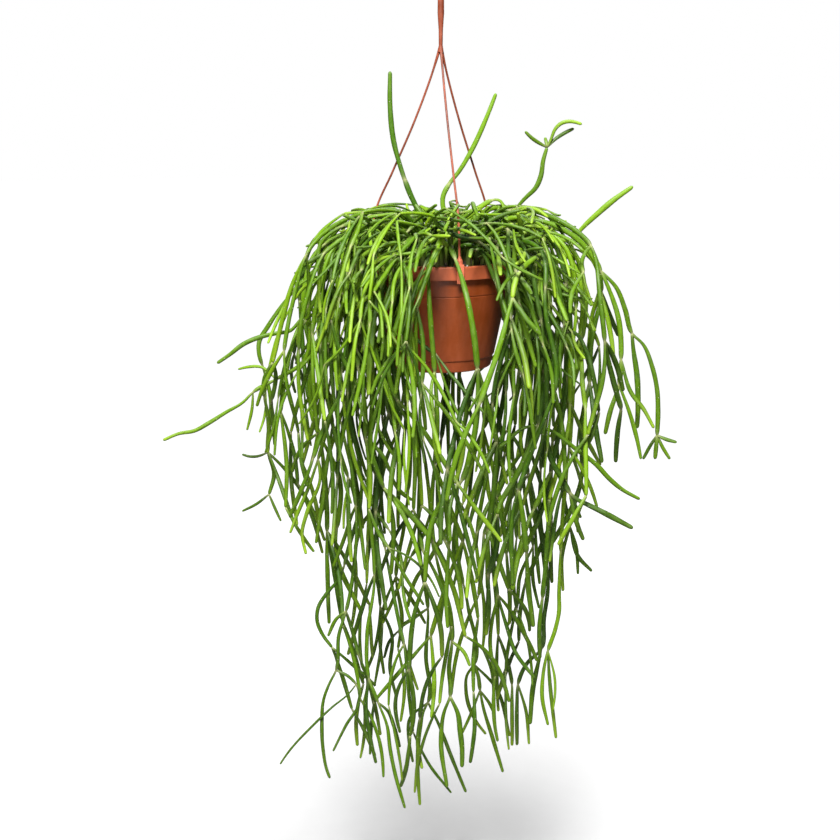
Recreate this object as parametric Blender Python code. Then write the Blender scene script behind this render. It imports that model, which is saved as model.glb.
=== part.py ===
"""A rhipsalis in a hanging pot: turned pot, soil, one moulded hanger and the plant's rooted stems.

Sizes are in millimetres from the centre of the pot's rim, +X to the right, +Y to the back, +Z up.
The meshes are made in metres and moved so that the origin is where the hook hangs.
"""

import math
import random
from dataclasses import dataclass

import bmesh
import bpy
import numpy as np

MM = 0.001
GAP = 0.35

# Pot
RIM_RADIUS = 75.0
RIM_HEIGHT = 13.0
RIM_INNER_RADIUS = 69.4
SKIRT = 2.2
WALL = 2.2
WALL_TOP_RADIUS = 69.6
SEAM_DROP = 30.0
SEAM_RADIUS = 68.4
SEAM_DEPTH = 0.8
FOOT_HEIGHT = 12.0
FOOT_TOP_RADIUS = 55.2
FOOT_STEP = 1.1
BASE_RADIUS = 52.0
POT_HEIGHT = 107.0
POT_SIDES = 24
DRAIN_RADIUS = 4.0
DRAIN_CIRCLE = 33.0
DRAINS = 6
DRAIN_SIDES = 6

# Soil
SOIL_TOP = -10.0
SOIL_CROWN = 3.0
SOIL_LUMPS = 1.2
ROOT_DEPTH = 20.0
ROOT_HEIGHTS = (SOIL_TOP - ROOT_DEPTH + 1.0, SOIL_TOP + 1.0, SOIL_TOP + SOIL_CROWN + 6.5)
ROOT_STRAIGHT = ROOT_HEIGHTS[2] - ROOT_HEIGHTS[0]

# Hanger
SPLIT_HEIGHT = 199.0
SHANK = 72.0
SHANK_RADIUS = 2.6
HOOK_RADIUS = 15.0
HOOK_WIRE = 2.8
HOOK_TURN = math.radians(235.0)
HOOK_STEPS = 11
HOOK_SIDES = 6
STRAND_RADIUS = 1.3
STRAND_WAYS = tuple(math.radians(a) for a in (-76.0, 44.0, 164.0))
STRAND_BOW = 9.5
STRAND_STATIONS = (0.0, 0.12, 0.35, 0.6, 0.8, 1.0)
CLIP_WIDTH = 7.0
CLIP_THICK = 1.9
CLIP_INNER_LEG = 8.0
CLIP_OUTER_LEG = 16.0
BARREL_RADIUS = 3.2
BARREL_HEIGHT = 9.0
HANG_HEIGHT = SPLIT_HEIGHT + SHANK + 2.0 * (HOOK_RADIUS - HOOK_WIRE)

# The plant as it is seen from the front
EYE = np.array((-20.0, -1350.0, 160.0))
EYE_TILT = math.radians(13.6)
EYE_UP = 163.7

# Stems
SEED = 41
STEM_SIDES = 4
SIDE_STEM_SIDES = 3
CORNER = 1.1
CLEAR = 0.9
OWN_CLEAR = 0.5
LINE_STEP = 3.0
SEGMENT = 104.0
LONGEST_SEGMENT = 138.0
NECK = 0.64
STRAIGHT_STATIONS = ((0.28, 0.98), (0.74, 1.02))
CURVED_STATIONS = ((0.22, 0.96), (0.52, 1.04), (0.82, 1.0))
CURVED = math.cos(math.radians(26.0))
SHORT = 46.0
TRIES = 220
MOST_SHIFT = 42.0
FILL_WAYS = (
    -172, -163, -154, -146, -138, -130, -121, -112, -104, -52, -44, -36, -28, -19, -9, 2, 14, 26, 38,
    52, 68, 84, 100, 116, 130, 142, 153, 164, 174, -117, -108, -126,
)
FILL_CHOICES = 4
SIDE_TRIES = 16000
SIDE_PULL = (0.002, 0.008)
SIDE_BOW = 3.2
FILL_BOW = 5.0
MOST_NEW = 0.8
LEAST_NEW = 0.34
MOST_STEMS = 16
PLANT_LENGTH = 48000.0
LOWEST_SIDE = -480.0
OUTLINE_UP = (-530, -494, -444, -394, -304, -244, -144, -44, 16, 48, 56)
OUTLINE_LEFT = (-60, -105, -115, -115, -142, -176, -186, -164, -132, -90, 0)
OUTLINE_RIGHT = (30, 85, 105, 112, 160, 172, 190, 190, 160, 112, 0)
ROUND_UP = (-480, -400, -330, -260, -120, 0, 60)
ROUND_REACH = (95, 118, 128, 170, 200, 190, 120)
CELL = 5.0
CELLS_LEFT = -260.0
CELLS_DOWN = -640.0
CELL_COLUMNS = 104
CELL_ROWS = 148
POT_SHOWS = (-12.0, 58.0, -118.0, 2.0)
DOWN = np.array((0.0, 0.0, -1.0))


@dataclass(frozen=True)
class Shoot:
    """A side stem: the parent's point it grows from, and its own points (right, up) from the front."""

    at: int
    points: tuple
    back: float = 0.0
    radius: float = 2.3
    shoots: tuple = ()


@dataclass(frozen=True)
class Route:
    """A rooted stem that shows: its points (right, up) from the front, from depth near to depth far."""

    points: tuple
    near: float
    far: float
    shoots: tuple = ()
    radius: float = 2.6
    upright: bool = False


@dataclass
class Stem:
    """A grown stem: its centre line, the places of its joints on that line, and its radius."""

    line: np.ndarray
    joints: list
    radius: float
    root: float = 0.0


ROUTES = (
    Route(
        ((-15, -12), (-17, 26), (-21, 42), (-31, 65), (-41, 94), (-46, 113), (-50, 150), (-50, 185)),
        -8, -2, upright=True,
    ),
    Route(
        ((7, -12), (6, 40), (3, 49), (3, 60), (9, 72), (19, 85), (32, 107), (47, 140), (56, 163)),
        22, 30, upright=True, radius=2.4,
    ),
    Route(
        ((45, -12), (58, 24), (67, 40), (74, 46), (85, 58), (96, 69), (101, 81), (103, 95), (107, 109)),
        18, 8, upright=True, radius=2.4,
        shoots=(
            Shoot(8, ((98, 114), (91, 119), (85, 125)), -6, 1.9),
            Shoot(8, ((106, 115), (105, 119)), 6, 1.7),
            Shoot(8, ((115, 117), (124, 123), (134, 128)), 8, 1.9),
            Shoot(8, ((111, 117), (115, 127), (121, 133), (129, 135), (136, 134), (142, 132)), -2, 1.9),
        ),
    ),
    Route(
        ((72, 30), (98, 22), (111, 18), (131, 15), (146, 4), (155, -8), (160, -26), (152, -60), (148, -92)),
        30, 42,
        shoots=(
            Shoot(3, ((143, 29), (158, 43), (172, 55), (193, 70)), -6, 2.9),
            Shoot(3, ((133, 2), (132, -20), (131, -48), (130, -62)), -4, 2.6),
        ),
    ),
    Route(
        ((62, 33), (74, 36), (88, 36), (102, 35), (117, 30), (131, 22), (144, 11), (154, -2), (161, -15),
         (171, -38), (178, -60), (181, -85), (181, -103), (179, -128), (170, -156), (165, -178)),
        -12, -22,
        shoots=(
            Shoot(8, ((176, -31), (185, -53), (192, -77), (203, -88), (212, -110), (217, -133), (218, -156),
                      (217, -179), (215, -203)), 18, 2.4,
                  shoots=(
                      Shoot(2, ((193, -90), (197, -120), (198, -150), (197, -172)), 14, 2.9),
                      Shoot(7, ((226, -183), (237, -186)), -5, 2.0),
                      Shoot(7, ((222, -190), (230, -203)), 6, 2.0),
                      Shoot(7, ((210, -190), (203, -203)), 6, 2.0),
                  )),
            Shoot(13, ((190, -158), (197, -183), (201, -203)), 8, 2.2),
            Shoot(12, ((192, -138), (203, -152), (214, -172)), -12, 2.2),
        ),
    ),
    Route(
        ((14, 22), (34, 17), (60, -4), (82, -26), (103, -51), (123, -74), (134, -76), (146, -94),
         (153, -119), (159, -156)),
        -76, -78, radius=2.8,
        shoots=(
            Shoot(5, ((121, -86), (114, -104), (107, -124), (101, -153), (99, -169), (106, -183), (111, -203),
                      (121, -221), (134, -241), (149, -249), (163, -256), (180, -265), (193, -272)), -16, 2.8,
                  shoots=(
                      Shoot(4, ((83, -172), (65, -187), (50, -197), (41, -202)), -5, 2.3),
                      Shoot(4, ((114, -176), (135, -192), (156, -208), (170, -223), (182, -233), (200, -243)),
                            8, 2.4),
                      Shoot(4, ((95, -178), (86, -200), (72, -227), (61, -246), (57, -258)), -12, 2.9),
                  )),
        ),
    ),
    Route(
        ((-139, -108), (-164, -123), (-187, -136), (-197, -146), (-214, -156), (-230, -166), (-247, -175),
         (-260, -177), (-277, -184)),
        -46, -58, radius=2.3,
        shoots=(
            Shoot(1, ((-178, -111), (-194, -111), (-202, -113)), 10, 1.5),
            Shoot(2, ((-188, -152), (-193, -174)), 10, 1.6),
        ),
    ),
    Route(
        ((-122, -38), (-141, -65), (-149, -74), (-164, -77), (-181, -81), (-197, -88), (-210, -98),
         (-223, -107)),
        -16, -24, radius=2.4,
    ),
    Route(
        ((-114, -3), (-126, -15), (-139, -27), (-157, -48), (-172, -70), (-181, -86), (-181, -98),
         (-177, -111), (-172, -128), (-169, -148), (-171, -172), (-172, -196), (-166, -218), (-171, -238)),
        14, 6, radius=2.3,
        shoots=(
            Shoot(11, ((-182, -200), (-192, -200), (-198, -198)), 3, 1.6),
            Shoot(13, ((-184, -248), (-198, -255)), 3, 1.6),
            Shoot(13, ((-165, -252), (-159, -265)), -4, 1.6),
        ),
    ),
    Route(
        ((-21, 25), (-31, 36), (-45, 45), (-60, 46), (-71, 40), (-79, 26), (-84, 10), (-87, -24),
         (-89, -57), (-86, -81), (-90, -110), (-84, -150)),
        -22, -70, radius=3.0, upright=False,
    ),
    Route(
        ((-80, -250), (-91, -290), (-102, -324), (-114, -338), (-122, -352), (-123, -364), (-117, -379),
         (-108, -391)),
        -30, -34, radius=2.2,
    ),
    Route(
        ((-84, -290), (-94, -355), (-101, -378), (-104, -414), (-111, -428), (-117, -446), (-118, -462),
         (-117, -492), (-113, -514), (-110, -522)),
        -52, -56, radius=2.4,
        shoots=(
            Shoot(1, ((-103, -362), (-112, -380)), 7, 1.9),
            Shoot(3, ((-93, -419), (-84, -428), (-81, -446), (-94, -469), (-107, -495)), -8, 1.9,
                  shoots=(Shoot(1, ((-90, -436), (-108, -451), (-127, -469), (-154, -499), (-160, -508)),
                                -5, 1.3),)),
        ),
    ),
    Route(
        ((-108, -150), (-122, -203), (-133, -235), (-142, -256), (-150, -277)),
        -44, -50, radius=2.2,
        shoots=(
            Shoot(1, ((-120, -222), (-133, -256), (-138, -277), (-134, -298)), -8, 2.0),
            Shoot(1, ((-116, -230), (-120, -260), (-124, -287)), 12, 2.2),
        ),
    ),
    Route(
        ((-66, -330), (-73, -380), (-71, -422), (-62, -446), (-53, -469), (-50, -492), (-45, -517),
         (-35, -552)),
        -60, -66, radius=2.5,
        shoots=(
            Shoot(2, ((-74, -450), (-70, -480), (-64, -507)), 9, 2.1),
            Shoot(3, ((-52, -455), (-46, -470), (-40, -491)), 9, 2.0),
        ),
    ),
    Route(
        ((-20, -300), (-12, -352), (-14, -400), (-12, -446), (-16, -454), (-19, -469), (-22, -492),
         (-22, -520), (-20, -549)),
        44, 40, radius=2.4,
        shoots=(
            Shoot(1, ((-25, -361), (-41, -374), (-36, -388), (-32, -404), (-22, -434)), -8, 2.1,
                  shoots=(Shoot(1, ((-50, -384), (-56, -402)), 5, 1.8),)),
            Shoot(3, ((-30, -462), (-31, -485), (-27, -506)), 8, 2.0),
            Shoot(3, ((0, -471), (10, -497), (26, -536)), -6, 2.2),
        ),
    ),
    Route(
        ((-6, -290), (4, -332), (10, -355), (12, -385), (9, -410), (10, -440), (4, -456), (1, -485),
         (7, -531)),
        -74, -78, radius=2.4,
        shoots=(
            Shoot(5, ((18, -458), (20, -474), (22, -492), (22, -511)), 6, 2.8),
            Shoot(3, ((24, -396), (30, -410)), -6, 2.0),
        ),
    ),
    Route(
        ((18, -300), (28, -350), (34, -408), (27, -419), (26, -434), (29, -450), (36, -465), (46, -478)),
        60, 66, radius=2.3,
        shoots=(
            Shoot(2, ((38, -419), (40, -434), (43, -450), (52, -480), (63, -516)), -6, 2.3,
                  shoots=(
                      Shoot(1, ((32, -455), (21, -479)), -6, 1.8),
                      Shoot(1, ((50, -448), (55, -459)), 6, 1.9),
                  )),
            Shoot(2, ((55, -430), (70, -480)), 7, 2.1),
        ),
    ),
    Route(
        ((100, -260), (108, -332), (104, -362), (101, -393), (87, -407), (78, -428), (77, -446),
         (77, -489)),
        8, 2, radius=2.4,
        shoots=(
            Shoot(3, ((99, -403), (93, -431), (90, -468)), -8, 2.8),
            Shoot(5, ((86, -455), (89, -488)), 6, 1.9),
        ),
    ),
    Route(
        ((122, -270), (119, -339), (119, -355), (115, -374), (108, -394), (103, -419), (102, -439),
         (108, -469)),
        -28, -24, radius=2.2,
        shoots=(
            Shoot(4, ((109, -416), (111, -439), (116, -482)), 8, 2.1),
            Shoot(4, ((115, -425), (115, -438), (113, -454)), -6, 1.4),
        ),
    ),
    Route(
        ((52, -270), (58, -339), (67, -371), (76, -397), (86, -411), (95, -422)),
        -58, -66, radius=2.6,
        shoots=(Shoot(1, ((52, -365), (50, -385), (55, -420)), 8, 2.1),),
    ),
    Route(
        ((38, -250), (46, -300), (41, -352), (30, -374), (25, -403)),
        -42, -50, radius=2.4,
        shoots=(Shoot(1, ((62, -330), (70, -352), (72, -372)), 9, 2.2),),
    ),
    Route(
        ((32, -190), (20, -227), (2, -245), (-8, -267), (-13, -295), (-15, -326)),
        -84, -90, radius=2.9,
    ),
    Route(
        ((118, -200), (130, -270), (138, -300), (152, -315)),
        30, 44, radius=2.3,
        shoots=(
            Shoot(1, ((122, -300), (123, -335)), -8, 2.2),
            Shoot(1, ((136, -290), (138, -318)), 10, 2.0),
        ),
    ),
    Route(
        ((84, -230), (93, -290), (93, -324), (99, -352)),
        58, 64, radius=2.4,
        shoots=(Shoot(1, ((80, -320), (76, -352), (66, -372)), 8, 2.1),),
    ),
    Route(
        ((-58, -230), (-66, -300), (-60, -350), (-66, -395), (-78, -425)),
        40, 44, radius=2.4,
        shoots=(Shoot(2, ((-48, -380), (-50, -412), (-44, -440)), -9, 2.2),),
    ),
    Route(
        ((-30, -210), (-36, -270), (-44, -320), (-38, -365), (-42, -392)),
        72, 76, radius=2.4,
        shoots=(Shoot(2, ((-56, -350), (-60, -385), (-56, -418)), -8, 2.2),),
    ),
)


def seen(right, up, depth):
    """The point at that depth that stands at (right, up) on the rim's upright plane, from the front."""
    across = (right - EYE[0]) / -EYE[1]
    above = (up + EYE_UP) / -EYE[1]
    along = math.cos(EYE_TILT) + above * math.sin(EYE_TILT)
    rise = above * math.cos(EYE_TILT) - math.sin(EYE_TILT)
    far = (depth - EYE[1]) / along
    return np.array((EYE[0] + across * far, depth, EYE[2] + rise * far))


def smooth(points):
    """A line through the points in short steps, and the place of each point on it."""
    points = np.array(points, float)
    chords = np.linalg.norm(np.diff(points, axis=0), axis=1)
    slopes = np.diff(points, axis=0) / chords[:, None]
    bends = slopes.copy()
    if len(points) > 2:
        before = chords[:-1, None]
        after = chords[1:, None]
        inner = (slopes[:-1] * after + slopes[1:] * before) / (before + after)
        bends = np.vstack((slopes[:1], inner, slopes[-1:]))
    else:
        bends = np.vstack((slopes[:1], slopes[:1]))
    line = [points[:1]]
    places = [0]
    for start, end, leave, arrive, chord in zip(points, points[1:], bends, bends[1:], chords):
        steps = max(2, round(chord / LINE_STEP))
        t = np.arange(1, steps + 1)[:, None] / steps
        line.append(
            start * (2 * t**3 - 3 * t**2 + 1)
            + leave * chord * (t**3 - 2 * t**2 + t)
            + end * (3 * t**2 - 2 * t**3)
            + arrive * chord * (t**3 - t**2)
        )
        places.append(places[-1] + steps)
    return np.vstack(line), places


def lengths(line):
    """How far along the line each of its points lies."""
    return np.concatenate(((0.0,), np.cumsum(np.linalg.norm(np.diff(line, axis=0), axis=1))))


def add_joints(line, joints):
    """The given joints, with more between those that lie too far apart."""
    along = lengths(line)
    full = []
    for start, end in zip(joints, joints[1:]):
        full.append(start)
        span = along[end] - along[start]
        parts = 1 if span <= LONGEST_SEGMENT else max(2, round(span / SEGMENT))
        for part in range(1, parts):
            full.append(int(np.searchsorted(along, along[start] + span * part / parts)))
    return full + [joints[-1]]


def bow(line, joints, amount, chance):
    """Bends each segment a little to one side, so that the stem changes direction at its joints."""
    bent = line.copy()
    for start, end in zip(joints, joints[1:]):
        side = np.array([chance.uniform(-1, 1) for _ in range(3)])
        tangent = line[end] - line[start]
        side -= tangent * side.dot(tangent) / tangent.dot(tangent)
        side *= amount * chance.uniform(0.4, 1.0) / np.linalg.norm(side)
        share = np.linspace(0.0, 1.0, end - start + 1)
        bent[start:end + 1] += np.sin(math.pi * share)[:, None] * side
    return bent


def widths(line, start, end, span):
    """The stations of one segment, more where it curves."""
    leave = line[start + 1] - line[start]
    arrive = line[end] - line[end - 1]
    turn = leave.dot(arrive) / (np.linalg.norm(leave) * np.linalg.norm(arrive))
    if span < SHORT:
        return STRAIGHT_STATIONS[:1]
    return STRAIGHT_STATIONS if turn > CURVED else CURVED_STATIONS


def stations(stem):
    """Centres and radii along a stem: a narrow neck at each joint, near full width between, a blunt tip."""
    along = lengths(stem.line)
    places = []
    radii = []
    for number, (start, end) in enumerate(zip(stem.joints, stem.joints[1:])):
        low = along[start]
        span = along[end] - low
        places.append(low)
        radii.append(stem.radius * (NECK if number else 0.9))
        if number == 0 and stem.root:
            places.append(stem.root)
            radii.append(stem.radius * 0.9)
        for share, width in widths(stem.line, start, end, span):
            if low + span * share > stem.root + 8.0 or not stem.root:
                places.append(low + span * share)
                radii.append(stem.radius * width)
    if stem.root:
        places.append(along[-1] - stem.radius * 0.8)
        radii.append(stem.radius * 0.86)
    places.append(along[-1])
    radii.append(stem.radius * (0.5 if stem.root else 0.66))
    centres = np.stack([np.interp(places, along, stem.line[:, axis]) for axis in range(3)], axis=1)
    return centres, np.array(radii)


def segment_gaps(a, b, c, d):
    """The least distance between each segment a-b and each segment c-d."""
    u = (b - a)[:, None]
    v = (d - c)[None]
    w = a[:, None] - c[None]
    uu = (u * u).sum(-1)
    vv = (v * v).sum(-1)
    uv = (u * v).sum(-1)
    uw = (u * w).sum(-1)
    vw = (v * w).sum(-1)
    base = np.maximum(uu * vv - uv * uv, 1e-9)
    s = np.clip((uv * vw - vv * uw) / base, 0.0, 1.0)
    t = np.clip((uv * s + vw) / vv, 0.0, 1.0)
    s = np.clip((uv * t - uw) / uu, 0.0, 1.0)
    apart = w + s[..., None] * u - t[..., None] * v
    return np.sqrt((apart * apart).sum(-1))


class Crowd:
    """Everything that a new stem has to stay clear of, kept as thick segments."""

    def __init__(self):
        self.starts = np.zeros((0, 3))
        self.ends = np.zeros((0, 3))
        self.radii = np.zeros(0)

    def join(self, other):
        self.starts = np.vstack((self.starts, other.starts))
        self.ends = np.vstack((self.ends, other.ends))
        self.radii = np.concatenate((self.radii, other.radii))

    def add(self, centres, radii):
        self.starts = np.vstack((self.starts, centres[:-1]))
        self.ends = np.vstack((self.ends, centres[1:]))
        self.radii = np.concatenate((self.radii, np.maximum(radii[:-1], radii[1:])))

    def is_clear(self, centres, radii, room=CLEAR):
        if not len(self.radii):
            return True
        reach = radii.max() * CORNER + self.radii * CORNER + room
        low = centres.min(0)
        high = centres.max(0)
        near = (np.minimum(self.starts, self.ends) - reach[:, None] < high).all(1)
        near &= (np.maximum(self.starts, self.ends) + reach[:, None] > low).all(1)
        if not near.any():
            return True
        gaps = segment_gaps(centres[:-1], centres[1:], self.starts[near], self.ends[near])
        own = np.maximum(radii[:-1], radii[1:])[:, None]
        return bool((gaps > (own + self.radii[near][None]) * CORNER + room).all())


class Gaps:
    """Cells of the plant's front view, and whether a stem or the open part of the pot fills each."""

    def __init__(self):
        self.full = np.zeros((CELL_ROWS, CELL_COLUMNS), bool)
        left, right, low, high = POT_SHOWS
        rows = slice(int((low - CELLS_DOWN) / CELL), int((high - CELLS_DOWN) / CELL))
        self.full[rows, int((left - CELLS_LEFT) / CELL):int((right - CELLS_LEFT) / CELL)] = True

    def cells(self, line):
        """The rows and columns of the cells that a line crosses where the pot doesn't hide it."""
        right, up = shown(line)
        hidden = (line[:, 1] > 0.0) & (np.abs(right) < WALL_TOP_RADIUS) & (up < 0.0) & (up > -POT_HEIGHT)
        rows = np.clip((up[~hidden] - CELLS_DOWN) / CELL, 0, CELL_ROWS - 1).astype(int)
        return rows, np.clip((right[~hidden] - CELLS_LEFT) / CELL, 0, CELL_COLUMNS - 1).astype(int)

    def fill(self, line):
        """Marks the cells that a line crosses."""
        self.full[self.cells(line)] = True

    def share(self, line):
        """The share of a line that crosses empty cells."""
        return (~self.full[self.cells(line)]).sum() / len(line)


def clears_pot(centres, radius):
    """Whether the stem stays outside the pot's wall and rim, and above the soil but for its root."""
    points = [centres[:-1] + (centres[1:] - centres[:-1]) * share for share in (0.0, 0.25, 0.5, 0.75)]
    points = np.vstack(points)
    reach = np.hypot(points[:, 0], points[:, 1])
    height = points[:, 2]
    room = radius * CORNER + 1.0
    rim = (reach > RIM_INNER_RADIUS - room) & (reach < RIM_RADIUS + room) & (height < room)
    rim &= height > -RIM_HEIGHT - room
    slope = (WALL_TOP_RADIUS - BASE_RADIUS) / POT_HEIGHT
    wall = reach < WALL_TOP_RADIUS + slope * height + room + 1.0
    wall &= (height < -RIM_HEIGHT) & (height > -POT_HEIGHT - room)
    wall &= (reach > 62.0) | (height < SOIL_TOP - ROOT_DEPTH - 1.0)
    soil = (reach < RIM_INNER_RADIUS) & (height < SOIL_TOP + SOIL_CROWN + room)
    rooted = np.hypot(points[:, 0] - centres[0, 0], points[:, 1] - centres[0, 1]) < 1.0
    return not (rim | wall | (soil & ~rooted)).any()


def carrier(first, lift, chance):
    """Points from a root in the soil, up over the rim and down to the first point that shows."""
    way = math.atan2(first[1], first[0]) + chance.uniform(-0.35, 0.35)
    out = math.hypot(first[0], first[1])
    root = chance.uniform(14.0, 56.0)
    crest = max(root + 16.0, chance.uniform(60.0, 78.0))
    high = lift + chance.uniform(6.0, 40.0)
    shoulder = max(out * chance.uniform(0.88, 1.0), chance.uniform(88.0, 112.0))
    aim = math.atan2(first[1], first[0])
    spots = [(root, height, way) for height in ROOT_HEIGHTS]
    spots += [
        (root + 5.0, 8.0 + high * 0.35, way),
        (crest, high, way * 0.7 + aim * 0.3),
    ]
    if first[2] < high - 45.0:
        drop = first[2] - high
        spots.append((shoulder, high + max(drop * 0.25, -34.0), way * 0.3 + aim * 0.7))
    hang = int(-first[2] // 95.0)
    for step in range(1, hang):
        share = step / hang
        spread = shoulder + (out - shoulder) * share + 8.0 * math.sin(math.pi * share)
        turn = aim + chance.uniform(-0.07, 0.07)
        spots.append((spread, first[2] * share, turn))
    return [np.array((r * math.cos(a), r * math.sin(a), z)) for r, z, a in spots]


def hanging(start, heading, span, pull, chance):
    """Points of a free stem that leaves start along heading and bends down under its own weight."""
    points = [start]
    heading = heading / np.linalg.norm(heading)
    step = 14.0
    for _ in range(max(2, round(span / step))):
        heading = heading + DOWN * pull * step
        heading += np.array([chance.uniform(-0.035, 0.035) for _ in range(3)])
        heading /= np.linalg.norm(heading)
        points.append(points[-1] + heading * step)
    return points


def shown(points):
    """Where points stand on the rim's upright plane as seen from the front: right and up."""
    offset = points - EYE
    ahead = offset[:, 1] * math.cos(EYE_TILT) - offset[:, 2] * math.sin(EYE_TILT)
    above = offset[:, 1] * math.sin(EYE_TILT) + offset[:, 2] * math.cos(EYE_TILT)
    return EYE[0] - EYE[1] * offset[:, 0] / ahead, -EYE[1] * above / ahead - EYE_UP


def in_outline(points):
    """Whether points stay within the plant's width, from the front and all round."""
    right, up = shown(points)
    reach = np.hypot(points[:, 0], points[:, 1])
    left_edge = np.interp(up, OUTLINE_UP, OUTLINE_LEFT)
    right_edge = np.interp(up, OUTLINE_UP, OUTLINE_RIGHT)
    round_edge = np.interp(points[:, 2], ROUND_UP, ROUND_REACH)
    return bool(((right > left_edge) & (right < right_edge) & (reach < round_edge)).all())


def side_stem(parent, joint, chance):
    """A stem of one to three segments from a joint of its parent, or None where it would spread too far."""
    start = parent.line[joint]
    ahead = parent.line[min(joint + 4, len(parent.line) - 1)] - parent.line[max(joint - 4, 0)]
    ahead /= np.linalg.norm(ahead)
    side = np.array([chance.uniform(-1, 1) for _ in range(3)])
    side -= ahead * side.dot(ahead)
    side /= np.linalg.norm(side)
    segments = 1 + (chance.random() < 0.6) + (chance.random() < 0.35)
    heading = ahead + side * chance.uniform(0.4, 0.95)
    points = [start]
    marks = [0]
    for _ in range(segments):
        heading = heading / np.linalg.norm(heading)
        more = hanging(points[-1], heading, chance.uniform(66.0, 118.0), chance.uniform(*SIDE_PULL), chance)
        points += more[1:]
        marks.append(len(points) - 1)
        turn = np.array([chance.uniform(-0.34, 0.34) for _ in range(3)])
        heading = points[-1] - points[-2]
        heading = heading / np.linalg.norm(heading) + turn
    if points[-1][2] < LOWEST_SIDE or not in_outline(np.array(points[1:])):
        return None
    line, places = smooth(points)
    joints = [places[mark] for mark in marks]
    line = bow(line, joints, SIDE_BOW, chance)
    return Stem(line, joints, parent.radius * chance.uniform(0.84, 1.0))


def grow_shoots(shoots, parent, places):
    """The stems of a route's side shoots, each from its joint on the parent."""
    grown = []
    for shoot in shoots:
        start = parent.line[places[shoot.at]]
        step = shoot.back / len(shoot.points)
        points = [start]
        points += [seen(*spot, start[1] + step * (number + 1)) for number, spot in enumerate(shoot.points)]
        line, own_places = smooth(points)
        own_places = own_places[1:]
        marks = sorted({0, len(line) - 1} | {own_places[inner.at] for inner in shoot.shoots})
        stem = Stem(line, add_joints(line, marks), shoot.radius)
        grown.append(stem)
        grown += grow_shoots(shoot.shoots, stem, own_places)
    return grown


def grow_route(route, shift, chance):
    """The stems of one tree that shows, moved back by shift, with its way up out of the soil."""
    step = (route.far - route.near) / (len(route.points) - 1)
    spots = [
        seen(*spot, route.near + shift + step * number) for number, spot in enumerate(route.points)
    ]
    if route.upright:
        lead = [np.array((spots[0][0], spots[0][1], height)) for height in ROOT_HEIGHTS]
        line, places = smooth(lead + spots[1:])
        places = places[len(lead) - 1:]
    else:
        lead = carrier(spots[0], max(0.0, spots[0][2] - 6.0), chance)
        line, places = smooth(lead + spots)
        places = places[len(lead):]
    marks = sorted({0, len(line) - 1} | {places[shoot.at] for shoot in route.shoots})
    main_stem = Stem(line, add_joints(line, marks), route.radius, ROOT_STRAIGHT)
    return [main_stem] + grow_shoots(route.shoots, main_stem, places)


def grow_fill(way, chance):
    """A tree that fills the crown and the curtain: up from the soil, out over the rim and down."""
    aside = abs(math.cos(way))
    reach = 94.0 + (52.0 + 46.0 * aside) * chance.random() ** 0.8
    depth = -chance.uniform(150.0, 300.0) - (190.0 - reach) * chance.uniform(0.3, 1.9)
    root = chance.uniform(8.0, 58.0)
    high = chance.uniform(14.0, 50.0)
    cross = chance.uniform(-1.0, 1.0) * (64.0 - root) / 40.0
    sway = [chance.uniform(-0.1, 0.1) for _ in range(12)]
    spots = [(root, height, cross) for height in ROOT_HEIGHTS]
    spots += [
        (root + 6.0, 6.0 + high * 0.4, cross * 0.9),
        (max(root + 18.0, 62.0), high, cross * 0.55),
        (reach * 0.84 + 8.0, high * 0.45, cross * 0.2),
        (reach, -32.0, 0.0),
        (reach + chance.uniform(-6.0, 12.0), -95.0, sway[0]),
    ]
    level = -160.0
    while level > depth:
        inward = max(reach - (-level - 100.0) * 0.17, 58.0)
        spots.append((inward + chance.uniform(-10.0, 10.0), level, sway[len(spots) - 7]))
        level -= 72.0
    points = [
        np.array((r * math.cos(way + turn), r * math.sin(way + turn), z)) for r, z, turn in spots
    ]
    line, _ = smooth(points)
    joints = add_joints(line, [0, len(line) - 1])
    line = bow(line, joints[1:], FILL_BOW, chance)
    return [Stem(line, joints, chance.uniform(2.3, 3.0), ROOT_STRAIGHT)]


def fits(stem, crowd):
    """Whether a stem is clear of the pot and of everything in the crowd."""
    centres, radii = stations(stem)
    return clears_pot(centres, stem.radius) and crowd.is_clear(centres, radii)


def grow_shown(route, crowd, chance):
    """A tree for a route, at the first depth where there is room, or None."""
    for attempt in range(TRIES):
        tree = grow_route(route, chance.uniform(-1.0, 1.0) * min(attempt * 0.8, MOST_SHIFT), chance)
        if all(fits(stem, crowd) for stem in tree):
            return tree
    return None


def grow_filling(way, crowd, gaps, chance):
    """The filling tree for a way that closes most of the gaps, of a few that have room, or None."""
    choices = []
    for _ in range(TRIES):
        tree = grow_fill(way + chance.uniform(-0.2, 0.2), chance)
        if in_outline(tree[0].line) and fits(tree[0], crowd):
            choices.append(tree)
        if len(choices) == FILL_CHOICES:
            break
    return max(choices, key=lambda tree: gaps.share(tree[0].line) * len(tree[0].line), default=None)


def can_branch(tree, parent, spot):
    """Whether a side stem may grow at that spot: outside the rim, or well above it."""
    if parent.radius < 2.0 or len(tree) > MOST_STEMS:
        return False
    outside = math.hypot(spot[0], spot[1]) > RIM_RADIUS + 4.0
    return outside or spot[2] > 14.0 or spot[2] < -POT_HEIGHT


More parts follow.
